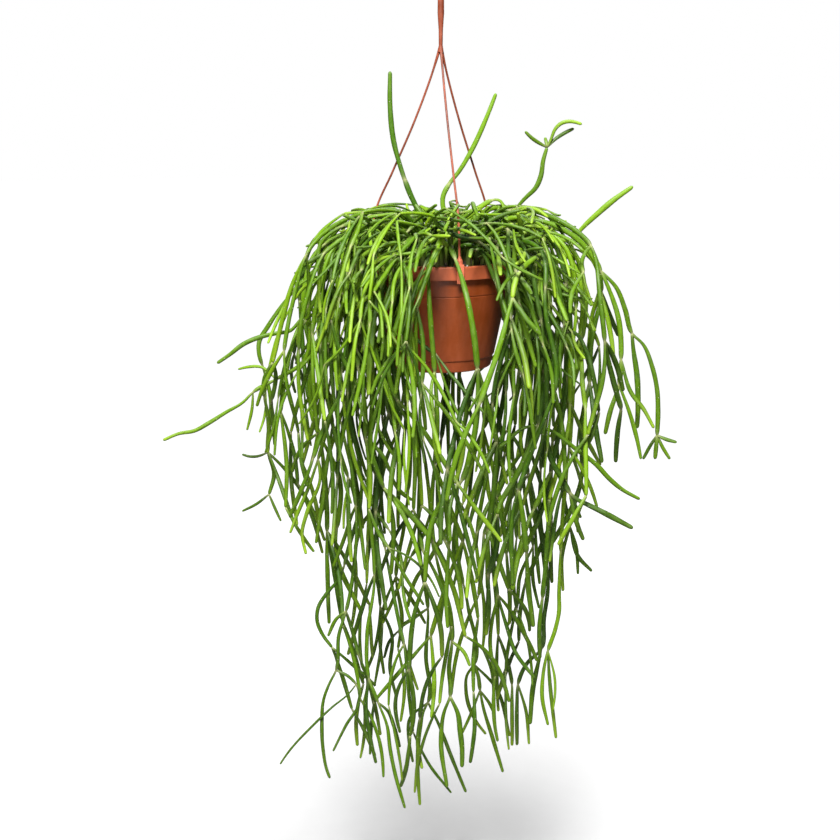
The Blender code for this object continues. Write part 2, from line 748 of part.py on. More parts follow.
def add_side_stems(trees, fixed, gaps, chance):
    """Adds side stems that grow from joints into the gaps, until the plant has the wanted length of stem."""
    crowds = []
    for tree in trees:
        crowds.append(Crowd())
        for stem in tree:
            crowds[-1].add(*stations(stem))
    total = sum(lengths(stem.line)[-1] for tree in trees for stem in tree)
    for attempt in range(SIDE_TRIES):
        if total > PLANT_LENGTH:
            break
        number = chance.randrange(len(trees))
        parent = chance.choice(trees[number])
        joint = chance.choice(parent.joints[1:])
        if joint == parent.joints[-1] or not can_branch(trees[number], parent, parent.line[joint]):
            continue
        stem = side_stem(parent, joint, chance)
        wanted = MOST_NEW + (LEAST_NEW - MOST_NEW) * attempt / SIDE_TRIES
        if stem is None or gaps.share(stem.line) < wanted or not fits(stem, fixed):
            continue
        centres, radii = stations(stem)
        if not crowds[number].is_clear(centres[2:], radii[2:], OWN_CLEAR):
            continue
        if all(crowd.is_clear(centres, radii) for crowd in crowds if crowd is not crowds[number]):
            crowds[number].add(centres, radii)
            gaps.fill(stem.line)
            trees[number].append(stem)
            total += lengths(stem.line)[-1]


def grow_plant(fixed):
    """Every rooted tree of the plant, each a list of stems with the rooted one first."""
    chance = random.Random(SEED)
    crowd = Crowd()
    crowd.join(fixed)
    gaps = Gaps()
    trees = []
    for plan in (*ROUTES, *FILL_WAYS):
        if isinstance(plan, Route):
            tree = grow_shown(plan, crowd, chance)
        else:
            tree = grow_filling(math.radians(plan), crowd, gaps, chance)
        if tree is not None:
            trees.append(tree)
            for stem in tree:
                crowd.add(*stations(stem))
                gaps.fill(stem.line)
    add_side_stems(trees, fixed, gaps, chance)
    return trees


def start_scene():
    """Removes what the scene holds."""
    for item in list(bpy.data.objects):
        bpy.data.objects.remove(item, do_unlink=True)


def material(name, colour, roughness):
    """A plain opaque material."""
    made = bpy.data.materials.new(name)
    made.use_nodes = True
    shader = made.node_tree.nodes["Principled BSDF"]
    shader.inputs["Base Color"].default_value = (*colour, 1.0)
    shader.inputs["Roughness"].default_value = roughness
    shader.inputs["Metallic"].default_value = 0.0
    return made


def to_metres(point):
    """A point in millimetres from the rim's centre, in metres from the place where the hook hangs."""
    return (point[0] * MM, point[1] * MM, (point[2] - HANG_HEIGHT) * MM)


def add_object(name, work, surface=None):
    """Makes an object of a bmesh, with its faces pointing out."""
    bmesh.ops.recalc_face_normals(work, faces=work.faces)
    mesh = bpy.data.meshes.new(name)
    work.to_mesh(mesh)
    work.free()
    made = bpy.data.objects.new(name, mesh)
    bpy.context.scene.collection.objects.link(made)
    if surface:
        mesh.materials.append(surface)
    return made


def round_off(item, degrees):
    """Shades an object smooth but for its sharp edges."""
    item.data.shade_smooth()
    item.data.set_sharp_from_angle(angle=math.radians(degrees))


def ring(work, centre, across, up, radii, sides, turn=0.0):
    """Adds a ring of vertices in the plane of across and up."""
    made = []
    for number in range(sides):
        angle = turn + math.tau * number / sides
        point = centre + across * (radii[0] * math.cos(angle)) + up * (radii[1] * math.sin(angle))
        made.append(work.verts.new(to_metres(point)))
    return made


def join_rings(work, rings):
    """Closes rings of equal size into one body, with a flat cap at each end."""
    for lower, upper in zip(rings, rings[1:]):
        for number in range(len(lower)):
            after = (number + 1) % len(lower)
            work.faces.new((lower[number], lower[after], upper[after], upper[number]))
    work.faces.new(rings[0][::-1])
    work.faces.new(rings[-1])


def tube(centres, radii, sides, squash=1.0):
    """A closed tube round a line of centres, turned as little as the line allows."""
    work = bmesh.new()
    tangents = np.gradient(np.array(centres, float), axis=0)
    across = np.array((1.0, 0.0, 0.0))
    rings = []
    for centre, tangent, radius in zip(centres, tangents, radii):
        tangent = tangent / np.linalg.norm(tangent)
        across = across - tangent * across.dot(tangent)
        across = across / np.linalg.norm(across)
        up = np.cross(tangent, across)
        rings.append(ring(work, centre, across, up, (radius, radius * squash), sides, math.pi / sides))
    join_rings(work, rings)
    return work


def turned(profile, sides):
    """A body turned round Z from a profile of (radius, height), which starts and ends on the axis."""
    work = bmesh.new()
    rows = []
    for radius, height in profile:
        if radius < 1e-6:
            rows.append([work.verts.new(to_metres((0.0, 0.0, height)))])
            continue
        row = []
        for number in range(sides):
            angle = math.tau * number / sides
            row.append(work.verts.new(to_metres((radius * math.cos(angle), radius * math.sin(angle), height))))
        rows.append(row)
    for lower, upper in zip(rows, rows[1:]):
        for number in range(sides):
            after = (number + 1) % sides
            corners = [lower[number % len(lower)], lower[after % len(lower)]]
            corners += [upper[after % len(upper)], upper[number % len(upper)]]
            work.faces.new(list(dict.fromkeys(corners)))
    return work


def drop_scraps(work):
    """Keeps the largest connected piece of a mesh."""
    left = set(work.verts)
    pieces = []
    while left:
        edge = [left.pop()]
        piece = set(edge)
        while edge:
            for link in edge.pop().link_edges:
                for vertex in link.verts:
                    if vertex in left:
                        left.remove(vertex)
                        piece.add(vertex)
                        edge.append(vertex)
        pieces.append(piece)
    pieces.sort(key=len)
    for piece in pieces[:-1]:
        bmesh.ops.delete(work, geom=list(piece), context="VERTS")


def combine(body, others, operation):
    """Unites the others with a body, or cuts them from it, and removes them."""
    if not others:
        return body
    group = bpy.data.collections.new(body.name + "_tools")
    for other in others:
        group.objects.link(other)
    change = body.modifiers.new("combine", "BOOLEAN")
    change.operation = operation
    change.operand_type = "COLLECTION"
    change.collection = group
    for solver in ("EXACT", "MANIFOLD"):
        change.solver = solver
        bpy.context.view_layer.update()
        ready = body.evaluated_get(bpy.context.evaluated_depsgraph_get())
        result = bpy.data.meshes.new_from_object(ready)
        work = bmesh.new()
        work.from_mesh(result)
        drop_scraps(work)
        bmesh.ops.triangulate(work, faces=work.faces)
        whole = all(part.is_manifold for part in (*work.edges, *work.verts))
        work.to_mesh(result)
        work.free()
        if whole:
            break
    body.modifiers.clear()
    body.data = result
    for other in others:
        bpy.data.objects.remove(other, do_unlink=True)
    bpy.data.collections.remove(group)
    return body


def inner_radius(height):
    """The radius of the pot's inner wall at that height."""
    floor = -POT_HEIGHT + WALL + 1.0
    top = -3.0
    share = (height - floor) / (top - floor)
    return (BASE_RADIUS - WALL - 0.5) * (1.0 - share) + (WALL_TOP_RADIUS - WALL) * share


def make_pot():
    """The turned pot: floor, wall, rim with its skirt, seam groove, stepped foot and drain holes."""
    floor = -POT_HEIGHT + WALL + 1.0
    foot_top = -POT_HEIGHT + FOOT_HEIGHT
    profile = (
        (0.0, floor),
        (inner_radius(floor), floor),
        (inner_radius(-3.0), -3.0),
        (RIM_INNER_RADIUS, -0.8),
        (RIM_INNER_RADIUS + 0.7, 0.0),
        (RIM_RADIUS - 0.8, 0.0),
        (RIM_RADIUS, -1.0),
        (RIM_RADIUS - 0.7, -RIM_HEIGHT),
        (RIM_RADIUS - 0.7 - SKIRT, -RIM_HEIGHT),
        (RIM_RADIUS - SKIRT, -3.4),
        (WALL_TOP_RADIUS, -3.4),
        (SEAM_RADIUS, -SEAM_DROP + 0.7),
        (SEAM_RADIUS - SEAM_DEPTH, -SEAM_DROP),
        (SEAM_RADIUS - 0.5, -SEAM_DROP - 0.9),
        (FOOT_TOP_RADIUS, foot_top),
        (FOOT_TOP_RADIUS - FOOT_STEP, foot_top - 0.8),
        (BASE_RADIUS, -POT_HEIGHT + 0.8),
        (BASE_RADIUS - 0.8, -POT_HEIGHT),
        (BASE_RADIUS - 4.0, -POT_HEIGHT),
        (BASE_RADIUS - 5.0, -POT_HEIGHT + 1.2),
        (0.0, -POT_HEIGHT + 1.2),
    )
    clay = material("terracotta_plastic", (0.42, 0.13, 0.055), 0.5)
    pot = add_object("pot", turned(profile, POT_SIDES), clay)
    drains = []
    for number in range(DRAINS):
        angle = math.tau * (number + 0.5) / DRAINS
        x = DRAIN_CIRCLE * math.cos(angle)
        y = DRAIN_CIRCLE * math.sin(angle)
        ends = [np.array((x, y, -POT_HEIGHT - 2.0)), np.array((x, y, floor + 2.0))]
        drains.append(add_object(f"drain_{number}", tube(ends, (DRAIN_RADIUS,) * 2, DRAIN_SIDES)))
    combine(pot, drains, "DIFFERENCE")
    round_off(pot, 30.0)
    return pot


def soil_lump(radius, angle):
    """A small rise or dip in the top of the soil."""
    return SOIL_LUMPS * math.sin(3.1 * angle + radius * 0.2) * math.cos(2.0 * angle - radius * 0.11)


def make_soil(trees):
    """The soil, which fills the pot, with a plain hole for each root."""
    floor = -POT_HEIGHT + WALL + 1.0 + GAP
    shoulder = SOIL_TOP - 1.5
    edge = inner_radius(shoulder) - GAP
    outline = (
        (0.0, SOIL_TOP + SOIL_CROWN),
        (34.0, SOIL_TOP + SOIL_CROWN * 0.7),
        (edge - 3.0, SOIL_TOP),
        (edge, shoulder),
        (inner_radius(floor) - GAP, floor),
        (0.0, floor),
    )
    earth = material("potting_soil", (0.035, 0.022, 0.015), 0.95)
    work = turned(outline, POT_SIDES)
    for vertex in work.verts:
        reach = math.hypot(vertex.co.x, vertex.co.y) / MM
        if 1.0 < reach < edge - 2.0 and vertex.co.z > to_metres((0.0, 0.0, shoulder))[2]:
            vertex.co.z += soil_lump(reach, math.atan2(vertex.co.y, vertex.co.x)) * MM
    soil = add_object("soil", work, earth)
    holes = []
    for number, tree in enumerate(trees):
        root = tree[0].line[0]
        ends = [root - (0.0, 0.0, 2.0), np.array((root[0], root[1], SOIL_TOP + SOIL_CROWN + 6.0))]
        width = tree[0].radius + GAP * 1.45
        holes.append(add_object(f"hole_{number}", tube(ends, (width,) * 2, STEM_SIDES)))
    combine(soil, holes, "DIFFERENCE")
    return soil


def strand_line(way):
    """The centre line of one strand, from the split down to its clip, pushed out most near the clip."""
    foot = RIM_RADIUS - 2.6
    line = []
    for share in STRAND_STATIONS:
        height = SPLIT_HEIGHT + 3.0 + (2.0 - SPLIT_HEIGHT) * share
        out = foot * share + STRAND_BOW * math.sin(math.pi * share**3)
        line.append(np.array((out * math.cos(way), out * math.sin(way), height)))
    line[0] = np.array((0.0, 0.0, SPLIT_HEIGHT + 6.0))
    return line


def make_clip(way):
    """The clip at the end of a strand: a saddle over the rim with a short leg inside and a long one outside."""
    inner = inner_radius(-CLIP_INNER_LEG) * math.cos(math.pi / POT_SIDES) - GAP
    outer = RIM_RADIUS + GAP
    high = GAP + CLIP_THICK
    outline = (
        (inner - CLIP_THICK, high), (inner - CLIP_THICK, -CLIP_INNER_LEG), (inner, -CLIP_INNER_LEG),
        (inner, GAP), (outer, GAP), (outer, -CLIP_OUTER_LEG), (outer + CLIP_THICK, -CLIP_OUTER_LEG),
        (outer + CLIP_THICK, high),
    )
    work = bmesh.new()
    out = np.array((math.cos(way), math.sin(way), 0.0))
    aside = np.array((-math.sin(way), math.cos(way), 0.0))
    sides = []
    for half in (-0.5, 0.5):
        sides.append([
            work.verts.new(to_metres(out * radius + aside * (half * CLIP_WIDTH) + (0.0, 0.0, height)))
            for radius, height in outline
        ])
    join_rings(work, sides)
    return work


def hook_line():
    """The centre line of the shank and of the open hook on top of it."""
    top = SPLIT_HEIGHT + SHANK
    line = [np.array((0.0, 0.0, SPLIT_HEIGHT)), np.array((0.0, 0.0, SPLIT_HEIGHT + SHANK * 0.5))]
    centre = np.array((0.0, 0.0, top + HOOK_RADIUS - HOOK_WIRE))
    for step in range(HOOK_STEPS + 1):
        angle = -math.pi / 2 + HOOK_TURN * step / HOOK_STEPS
        line.append(centre + HOOK_RADIUS * np.array((math.cos(angle), 0.0, math.sin(angle))))
    return line


def make_hanger():
    """The moulded hanger: hook, shank, three strands and the three clips over the rim, in one piece."""
    plastic = material("hanger_plastic", (0.55, 0.16, 0.07), 0.42)
    line = hook_line()
    radii = [SHANK_RADIUS] * 2 + [HOOK_WIRE] * (len(line) - 3) + [HOOK_WIRE * 0.7]
    hanger = add_object("hanger", tube(line, radii, HOOK_SIDES), plastic)
    pieces = []
    for number, way in enumerate(STRAND_WAYS):
        strand = strand_line(way)
        pieces.append(add_object(f"strand_{number}", tube(strand, (STRAND_RADIUS,) * len(strand), 6)))
        foot = np.array((strand[-1][0], strand[-1][1], GAP + 0.4))
        top = foot + (0.0, 0.0, BARREL_HEIGHT)
        barrel = tube((foot, foot + (top - foot) * 0.5, top), (BARREL_RADIUS, BARREL_RADIUS, STRAND_RADIUS), 6)
        pieces.append(add_object(f"barrel_{number}", barrel))
        pieces.append(add_object(f"clip_{number}", make_clip(way)))
    combine(hanger, pieces, "UNION")
    round_off(hanger, 35.0)
    return hanger


def hanger_crowd():
    """The hanger's strands, clips and shank as things that the stems stay clear of."""
    crowd = Crowd()
    for way in STRAND_WAYS:
        line = np.array(strand_line(way))
        crowd.add(line, np.full(len(line), STRAND_RADIUS + 0.8))
        foot = np.array((math.cos(way), math.sin(way), 0.0)) * (RIM_RADIUS - 2.5)
        block = np.array((foot + (0, 0, 10.0), foot + (0, 0, 2.0), foot * 1.02 + (0, 0, -CLIP_OUTER_LEG + 3.0)))
        crowd.add(block, np.full(3, 6.5))
    line = np.array(hook_line()[:4])
    crowd.add(line, np.full(len(line), SHANK_RADIUS + 1.0))
    return crowd


def make_tree(number, tree, greens):
    """One rooted stem with all that grows from it, united in one body."""
    name = f"stem_{number + 1:02d}"
    pieces = []
    for place, stem in enumerate(tree):
        centres, radii = stations(stem)
        label = f"{name}_{place}" if place else name
        sides = SIDE_STEM_SIDES if place else STEM_SIDES
        pieces.append(add_object(label, tube(centres, radii * CORNER, sides)))
    body = combine(pieces[0], pieces[1:], "UNION")
    body.data.materials.clear()
    body.data.materials.append(greens[number % len(greens)])
    round_off(body, 50.0)
    return body


def main():
    """Builds the whole part."""
    start_scene()
    trees = grow_plant(hanger_crowd())
    make_pot()
    make_soil(trees)
    make_hanger()
    greens = [
        material("stem_green_light", (0.19, 0.33, 0.06), 0.45),
        material("stem_green_mid", (0.11, 0.23, 0.035), 0.45),
        material("stem_green_dark", (0.05, 0.13, 0.02), 0.45),
    ]
    for number, tree in enumerate(trees):
        make_tree(number, tree, greens)


main()
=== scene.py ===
"""A rhipsalis in a hanging pot: its fine meshes, materials, light and camera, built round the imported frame.

Sizes are in millimetres from the centre of the pot's rim, +X to the right, +Y to the back, +Z up.
"""

from __future__ import annotations

import logging
import math
import random
from dataclasses import dataclass, field, replace
from enum import Enum

import bmesh
import bpy
import numpy as np
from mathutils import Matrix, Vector


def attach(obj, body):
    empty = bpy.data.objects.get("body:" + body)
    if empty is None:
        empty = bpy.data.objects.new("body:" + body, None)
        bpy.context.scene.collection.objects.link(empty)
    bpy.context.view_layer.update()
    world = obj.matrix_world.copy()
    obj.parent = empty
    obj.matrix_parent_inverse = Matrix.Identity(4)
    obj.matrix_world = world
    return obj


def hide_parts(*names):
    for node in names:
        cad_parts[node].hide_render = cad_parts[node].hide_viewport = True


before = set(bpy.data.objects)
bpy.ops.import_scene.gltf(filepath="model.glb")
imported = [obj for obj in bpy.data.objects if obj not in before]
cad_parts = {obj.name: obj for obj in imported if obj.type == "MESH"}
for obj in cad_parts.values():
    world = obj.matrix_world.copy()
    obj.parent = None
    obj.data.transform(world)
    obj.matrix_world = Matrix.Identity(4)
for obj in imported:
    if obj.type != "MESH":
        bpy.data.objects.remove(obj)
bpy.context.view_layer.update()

LOG = logging.getLogger("rhipsalis")
MM = 0.001
GAP = 0.35
DOWN = np.array((0.0, 0.0, -1.0))
BODY = "root"

Array = np.ndarray
Faces = list[tuple[int, ...]]
Pair = tuple[float, float]
Triple = tuple[float, float, float]
Zone = tuple[float, float, float, float]
Material = bpy.types.Material
Node = bpy.types.Node
Piece = bpy.types.Object
Socket = bpy.types.NodeSocket


def to_metres(points: Array) -> Array:
    """Turns points in millimetres from the rim's centre into metres from where the hook hangs."""
    return (np.asarray(points, float) - (0.0, 0.0, HANGER.hang_height)) * MM


def around(reach: float, angle: float, height: float = 0.0) -> Array:
    """Gives the point at a distance from the pot's axis, at an angle round it and at a height."""
    return np.array((reach * math.cos(angle), reach * math.sin(angle), height))


@dataclass(frozen=True)
class Shoot:
    """A side stem: the parent's point it grows from, and its own points (right, up) from the front."""

    at: int
    points: tuple
    back: float = 0.0
    radius: float = 2.3
    shoots: tuple = ()


@dataclass(frozen=True)
class Route:
    """A rooted stem that shows: its points (right, up) from the front, from depth near to depth far."""

    points: tuple
    near: float
    far: float
    shoots: tuple = ()
    radius: float = 2.6
    upright: bool = False
    tint: float | None = None


ROUTES = (
    Route(
        ((-15, -12), (-17, 26), (-21, 42), (-31, 65), (-41, 94), (-46, 113), (-50, 150), (-50, 185)),
        -8, -2, upright=True, tint=0.0,
    ),
    Route(
        ((7, -12), (6, 40), (3, 49), (3, 60), (9, 72), (19, 85), (32, 107), (47, 140), (56, 163)),
        22, 30, upright=True, radius=2.4, tint=1.0,
    ),
    Route(
        ((45, -12), (58, 24), (67, 40), (74, 46), (85, 58), (96, 69), (101, 81), (103, 95), (107, 109)),
        18, 8, upright=True, radius=2.4,
        shoots=(
            Shoot(8, ((98, 114), (91, 119), (85, 125)), -6, 1.9),
            Shoot(8, ((106, 115), (105, 119)), 6, 1.7),
            Shoot(8, ((115, 117), (124, 123), (134, 128)), 8, 1.9),
            Shoot(8, ((111, 117), (115, 127), (121, 133), (129, 135), (136, 134), (142, 132)), -2, 1.9),
        ),
    ),
    Route(
        ((72, 30), (98, 22), (111, 18), (131, 15), (146, 4), (155, -8), (160, -26), (152, -60), (148, -92)),
        30, 42,
        shoots=(
            Shoot(3, ((143, 29), (158, 43), (172, 55), (193, 70)), -6, 2.9),
            Shoot(3, ((133, 2), (132, -20), (131, -48), (130, -62)), -4, 2.6),
        ),
    ),
    Route(
        ((62, 33), (74, 36), (88, 36), (102, 35), (117, 30), (131, 22), (144, 11), (154, -2), (161, -15),
         (171, -38), (178, -60), (181, -85), (181, -103), (179, -128), (170, -156), (165, -178)),
        -12, -22,
        shoots=(
            Shoot(8, ((176, -31), (185, -53), (192, -77), (203, -88), (212, -110), (217, -133), (218, -156),
                      (217, -179), (215, -203)), 18, 2.4,
                  shoots=(
                      Shoot(2, ((193, -90), (197, -120), (198, -150), (197, -172)), 14, 2.9),
                      Shoot(7, ((226, -183), (237, -186)), -5, 2.0),
                      Shoot(7, ((222, -190), (230, -203)), 6, 2.0),
                      Shoot(7, ((210, -190), (203, -203)), 6, 2.0),
                  )),
            Shoot(13, ((190, -158), (197, -183), (201, -203)), 8, 2.2),
            Shoot(12, ((192, -138), (203, -152), (214, -172)), -12, 2.2),
        ),
    ),
    Route(
        ((14, 22), (34, 17), (60, -4), (82, -26), (103, -51), (123, -74), (134, -76), (146, -94),
         (153, -119), (159, -156)),
        -76, -78, radius=2.8,
        shoots=(
            Shoot(5, ((121, -86), (114, -104), (107, -124), (101, -153), (99, -169), (106, -183), (111, -203),
                      (121, -221), (134, -241), (149, -249), (163, -256), (180, -265), (193, -272)), -16, 2.8,
                  shoots=(
                      Shoot(4, ((83, -172), (65, -187), (50, -197), (41, -202)), -5, 2.3),
                      Shoot(4, ((114, -176), (135, -192), (156, -208), (170, -223), (182, -233), (200, -243)),
                            8, 2.4),
                      Shoot(4, ((95, -178), (86, -200), (72, -227), (61, -246), (57, -258)), -12, 2.9),
                  )),
        ),
    ),
    Route(
        ((-139, -108), (-164, -123), (-187, -136), (-197, -146), (-214, -156), (-230, -166), (-247, -175),
         (-260, -177), (-277, -184)),
        -46, -58, radius=2.3,
        shoots=(
            Shoot(1, ((-178, -111), (-194, -111), (-202, -113)), 10, 1.5),
            Shoot(2, ((-188, -152), (-193, -174)), 10, 1.6),
        ),
    ),
    Route(
        ((-122, -38), (-141, -65), (-149, -74), (-164, -77), (-181, -81), (-197, -88), (-210, -98),
         (-223, -107)),
        -16, -24, radius=2.4,
    ),
    Route(
        ((-114, -3), (-126, -15), (-139, -27), (-157, -48), (-172, -70), (-181, -86), (-181, -98),
         (-177, -111), (-172, -128), (-169, -148), (-171, -172), (-172, -196), (-166, -218), (-171, -238)),
        14, 6, radius=2.3,
        shoots=(
            Shoot(11, ((-182, -200), (-192, -200), (-198, -198)), 3, 1.6),
            Shoot(13, ((-184, -248), (-198, -255)), 3, 1.6),
            Shoot(13, ((-165, -252), (-159, -265)), -4, 1.6),
        ),
    ),
    Route(
        ((-21, 25), (-31, 36), (-45, 45), (-60, 46), (-71, 40), (-79, 26), (-84, 10), (-87, -24),
         (-89, -57), (-86, -81), (-90, -110), (-84, -150)),
        -22, -70, radius=3.0,
    ),
    Route(
        ((-80, -250), (-91, -290), (-102, -324), (-114, -338), (-122, -352), (-123, -364), (-117, -379),
         (-108, -391)),
        -30, -34, radius=2.2,
    ),
    Route(
        ((-84, -290), (-94, -355), (-101, -378), (-104, -414), (-111, -428), (-117, -446), (-118, -462),
         (-117, -492), (-113, -514), (-110, -522)),
        -52, -56, radius=2.4,
        shoots=(
            Shoot(1, ((-103, -362), (-112, -380)), 7, 1.9),
            Shoot(3, ((-93, -419), (-84, -428), (-81, -446), (-94, -469), (-107, -495)), -8, 1.9,
                  shoots=(Shoot(1, ((-90, -436), (-108, -451), (-127, -469), (-154, -499), (-160, -508)),
                                -5, 1.3),)),
        ),
    ),
    Route(
        ((-108, -150), (-122, -203), (-133, -235), (-142, -256), (-150, -277)),
        -44, -50, radius=2.2,
        shoots=(
            Shoot(1, ((-120, -222), (-133, -256), (-138, -277), (-134, -298)), -8, 2.0),
            Shoot(1, ((-116, -230), (-120, -260), (-124, -287)), 12, 2.2),
        ),
    ),
    Route(
        ((-66, -330), (-73, -380), (-71, -422), (-62, -446), (-53, -469), (-50, -492), (-45, -517),
         (-35, -552)),
        -60, -66, radius=2.5,
        shoots=(
            Shoot(2, ((-74, -450), (-70, -480), (-64, -507)), 9, 2.1),
            Shoot(3, ((-52, -455), (-46, -470), (-40, -491)), 9, 2.0),
        ),
    ),
    Route(
        ((-20, -300), (-12, -352), (-14, -400), (-12, -446), (-16, -454), (-19, -469), (-22, -492),
         (-22, -520), (-20, -549)),
        44, 40, radius=2.4,
        shoots=(
            Shoot(1, ((-25, -361), (-41, -374), (-36, -388), (-32, -404), (-22, -434)), -8, 2.1,
                  shoots=(Shoot(1, ((-50, -384), (-56, -402)), 5, 1.8),)),
            Shoot(3, ((-30, -462), (-31, -485), (-27, -506)), 8, 2.0),
            Shoot(3, ((0, -471), (10, -497), (26, -536)), -6, 2.2),
        ),
    ),
    Route(
        ((-6, -290), (4, -332), (10, -355), (12, -385), (9, -410), (10, -440), (4, -456), (1, -485),
         (7, -531)),
        -74, -78, radius=2.4,
        shoots=(
            Shoot(5, ((18, -458), (20, -474), (22, -492), (22, -511)), 6, 2.8),
            Shoot(3, ((24, -396), (30, -410)), -6, 2.0),
        ),
    ),
    Route(
        ((18, -300), (28, -350), (34, -408), (27, -419), (26, -434), (29, -450), (36, -465), (46, -478)),
        60, 66, radius=2.3,
        shoots=(
            Shoot(2, ((38, -419), (40, -434), (43, -450), (52, -480), (63, -516)), -6, 2.3,
                  shoots=(
                      Shoot(1, ((32, -455), (21, -479)), -6, 1.8),
                      Shoot(1, ((50, -448), (55, -459)), 6, 1.9),
                  )),
            Shoot(2, ((55, -430), (70, -480)), 7, 2.1),
        ),
    ),
    Route(
        ((100, -260), (108, -332), (104, -362), (101, -393), (87, -407), (78, -428), (77, -446),
         (77, -489)),
        8, 2, radius=2.4,
        shoots=(
            Shoot(3, ((99, -403), (93, -431), (90, -468)), -8, 2.8),
            Shoot(5, ((86, -455), (89, -488)), 6, 1.9),
        ),
    ),
    Route(
        ((122, -270), (119, -339), (119, -355), (115, -374), (108, -394), (103, -419), (102, -439),
         (108, -469)),
        -28, -24, radius=2.2,
        shoots=(
            Shoot(4, ((109, -416), (111, -439), (116, -482)), 8, 2.1),
            Shoot(4, ((115, -425), (115, -438), (113, -454)), -6, 1.4),
        ),
    ),
    Route(
        ((52, -270), (58, -339), (67, -371), (76, -397), (86, -411), (95, -422)),
        -58, -66, radius=2.6,
        shoots=(Shoot(1, ((52, -365), (50, -385), (55, -420)), 8, 2.1),),
    ),
    Route(
        ((38, -250), (46, -300), (41, -352), (30, -374), (25, -403)),
        -42, -50, radius=2.4,
        shoots=(Shoot(1, ((62, -330), (70, -352), (72, -372)), 9, 2.2),),
    ),
    Route(
        ((32, -190), (20, -227), (2, -245), (-8, -267), (-13, -295), (-15, -326)),
        -84, -90, radius=2.9,
    ),
    Route(
        ((118, -200), (130, -270), (138, -300), (152, -315)),
        30, 44, radius=2.3,
        shoots=(
            Shoot(1, ((122, -300), (123, -335)), -8, 2.2),
            Shoot(1, ((136, -290), (138, -318)), 10, 2.0),
        ),
    ),
    Route(
        ((84, -230), (93, -290), (93, -324), (99, -352)),
        58, 64, radius=2.4,
        shoots=(Shoot(1, ((80, -320), (76, -352), (66, -372)), 8, 2.1),),
    ),
    Route(
        ((-58, -230), (-66, -300), (-60, -350), (-66, -395), (-78, -425)),
        40, 44, radius=2.4,
        shoots=(Shoot(2, ((-48, -380), (-50, -412), (-44, -440)), -9, 2.2),),
    ),
    Route(
        ((-30, -210), (-36, -270), (-44, -320), (-38, -365), (-42, -392)),
        72, 76, radius=2.4,
        shoots=(Shoot(2, ((-56, -350), (-60, -385), (-56, -418)), -8, 2.2),),
    ),
)


@dataclass
class Stem:
    """A grown stem: its centre line, the places of its joints, its radius, straight root, neck and tint."""

    line: Array
    joints: list[int]
    radius: float
    root: float = 0.0
    neck: float = 0.55
    tint: float | None = None


@dataclass(frozen=True)
class Eye:
    """The place that the plant is seen from, in millimetres from the rim's centre."""

    place: Triple = (-20.0, -1350.0, 160.0)
    tilt: float = math.radians(13.6)
    up: float = 163.7

    def spot(self, right: float, up: float, depth: float) -> Array:
        """Finds the point at a depth that stands at (right, up) on the rim's upright plane.

        Args:
            right: how far right of the pot's axis it looks, in millimetres.
            up: how far above the rim it looks.
            depth: how far behind the axis it lies.

        Returns:
            The point in millimetres.
        """
        across = (right - self.place[0]) / -self.place[1]
        above = (up + self.up) / -self.place[1]
        along = math.cos(self.tilt) + above * math.sin(self.tilt)
        rise = above * math.cos(self.tilt) - math.sin(self.tilt)
        far = (depth - self.place[1]) / along
        return np.array((self.place[0] + across * far, depth, self.place[2] + rise * far))

    def shown(self, points: Array) -> tuple[Array, Array]:
        """Finds where points stand on the rim's upright plane.

        Args:
            points: rows of x, y and z.

        Returns:
            How far right and how far up each looks.
        """
        offset = points - np.array(self.place)
        ahead = offset[:, 1] * math.cos(self.tilt) - offset[:, 2] * math.sin(self.tilt)
        above = offset[:, 1] * math.sin(self.tilt) + offset[:, 2] * math.cos(self.tilt)
        right = self.place[0] - self.place[1] * offset[:, 0] / ahead
        return right, -self.place[1] * above / ahead - self.up


def smooth(points: list, step: float = 3.0) -> tuple[Array, list[int]]:
    """Draws a smooth line through points.

    Args:
        points: the points it passes, in order.
        step: the distance between its own points.

    Returns:
        The line, and the place of each given point on it.
    """
    spots = np.array(points, float)
    chords = np.linalg.norm(np.diff(spots, axis=0), axis=1)
    slopes = np.diff(spots, axis=0) / chords[:, None]
    bends = np.vstack((slopes[:1], slopes[:1]))
    if len(spots) > 2:
        before = chords[:-1, None]
        after = chords[1:, None]
        inner = (slopes[:-1] * after + slopes[1:] * before) / (before + after)
        bends = np.vstack((slopes[:1], inner, slopes[-1:]))
    line = [spots[:1]]
    places = [0]
    for start, end, leave, arrive, chord in zip(spots, spots[1:], bends, bends[1:], chords):
        steps = max(2, round(chord / step))
        t = np.arange(1, steps + 1)[:, None] / steps
        line.append(
            start * (2 * t**3 - 3 * t**2 + 1)
            + leave * chord * (t**3 - 2 * t**2 + t)
            + end * (3 * t**2 - 2 * t**3)
            + arrive * chord * (t**3 - t**2)
        )
        places.append(places[-1] + steps)
    return np.vstack(line), places


def lengths(line: Array) -> Array:
    """Measures how far along a line each of its points lies, from nought."""
    return np.concatenate(((0.0,), np.cumsum(np.linalg.norm(np.diff(line, axis=0), axis=1))))


def points_at(line: Array, places: Array) -> Array:
    """Finds the points that lie at given lengths along a line."""
    along = lengths(line)
    return np.stack([np.interp(places, along, line[:, axis]) for axis in range(3)], axis=1)


def unit(vector: Array) -> Array:
    """Brings a vector to a length of one."""
    return vector / np.linalg.norm(vector)


def scatter(chance: random.Random, most: float) -> Array:
    """Draws a vector whose three parts reach up to most either way."""
    return np.array([chance.uniform(-most, most) for _ in range(3)])


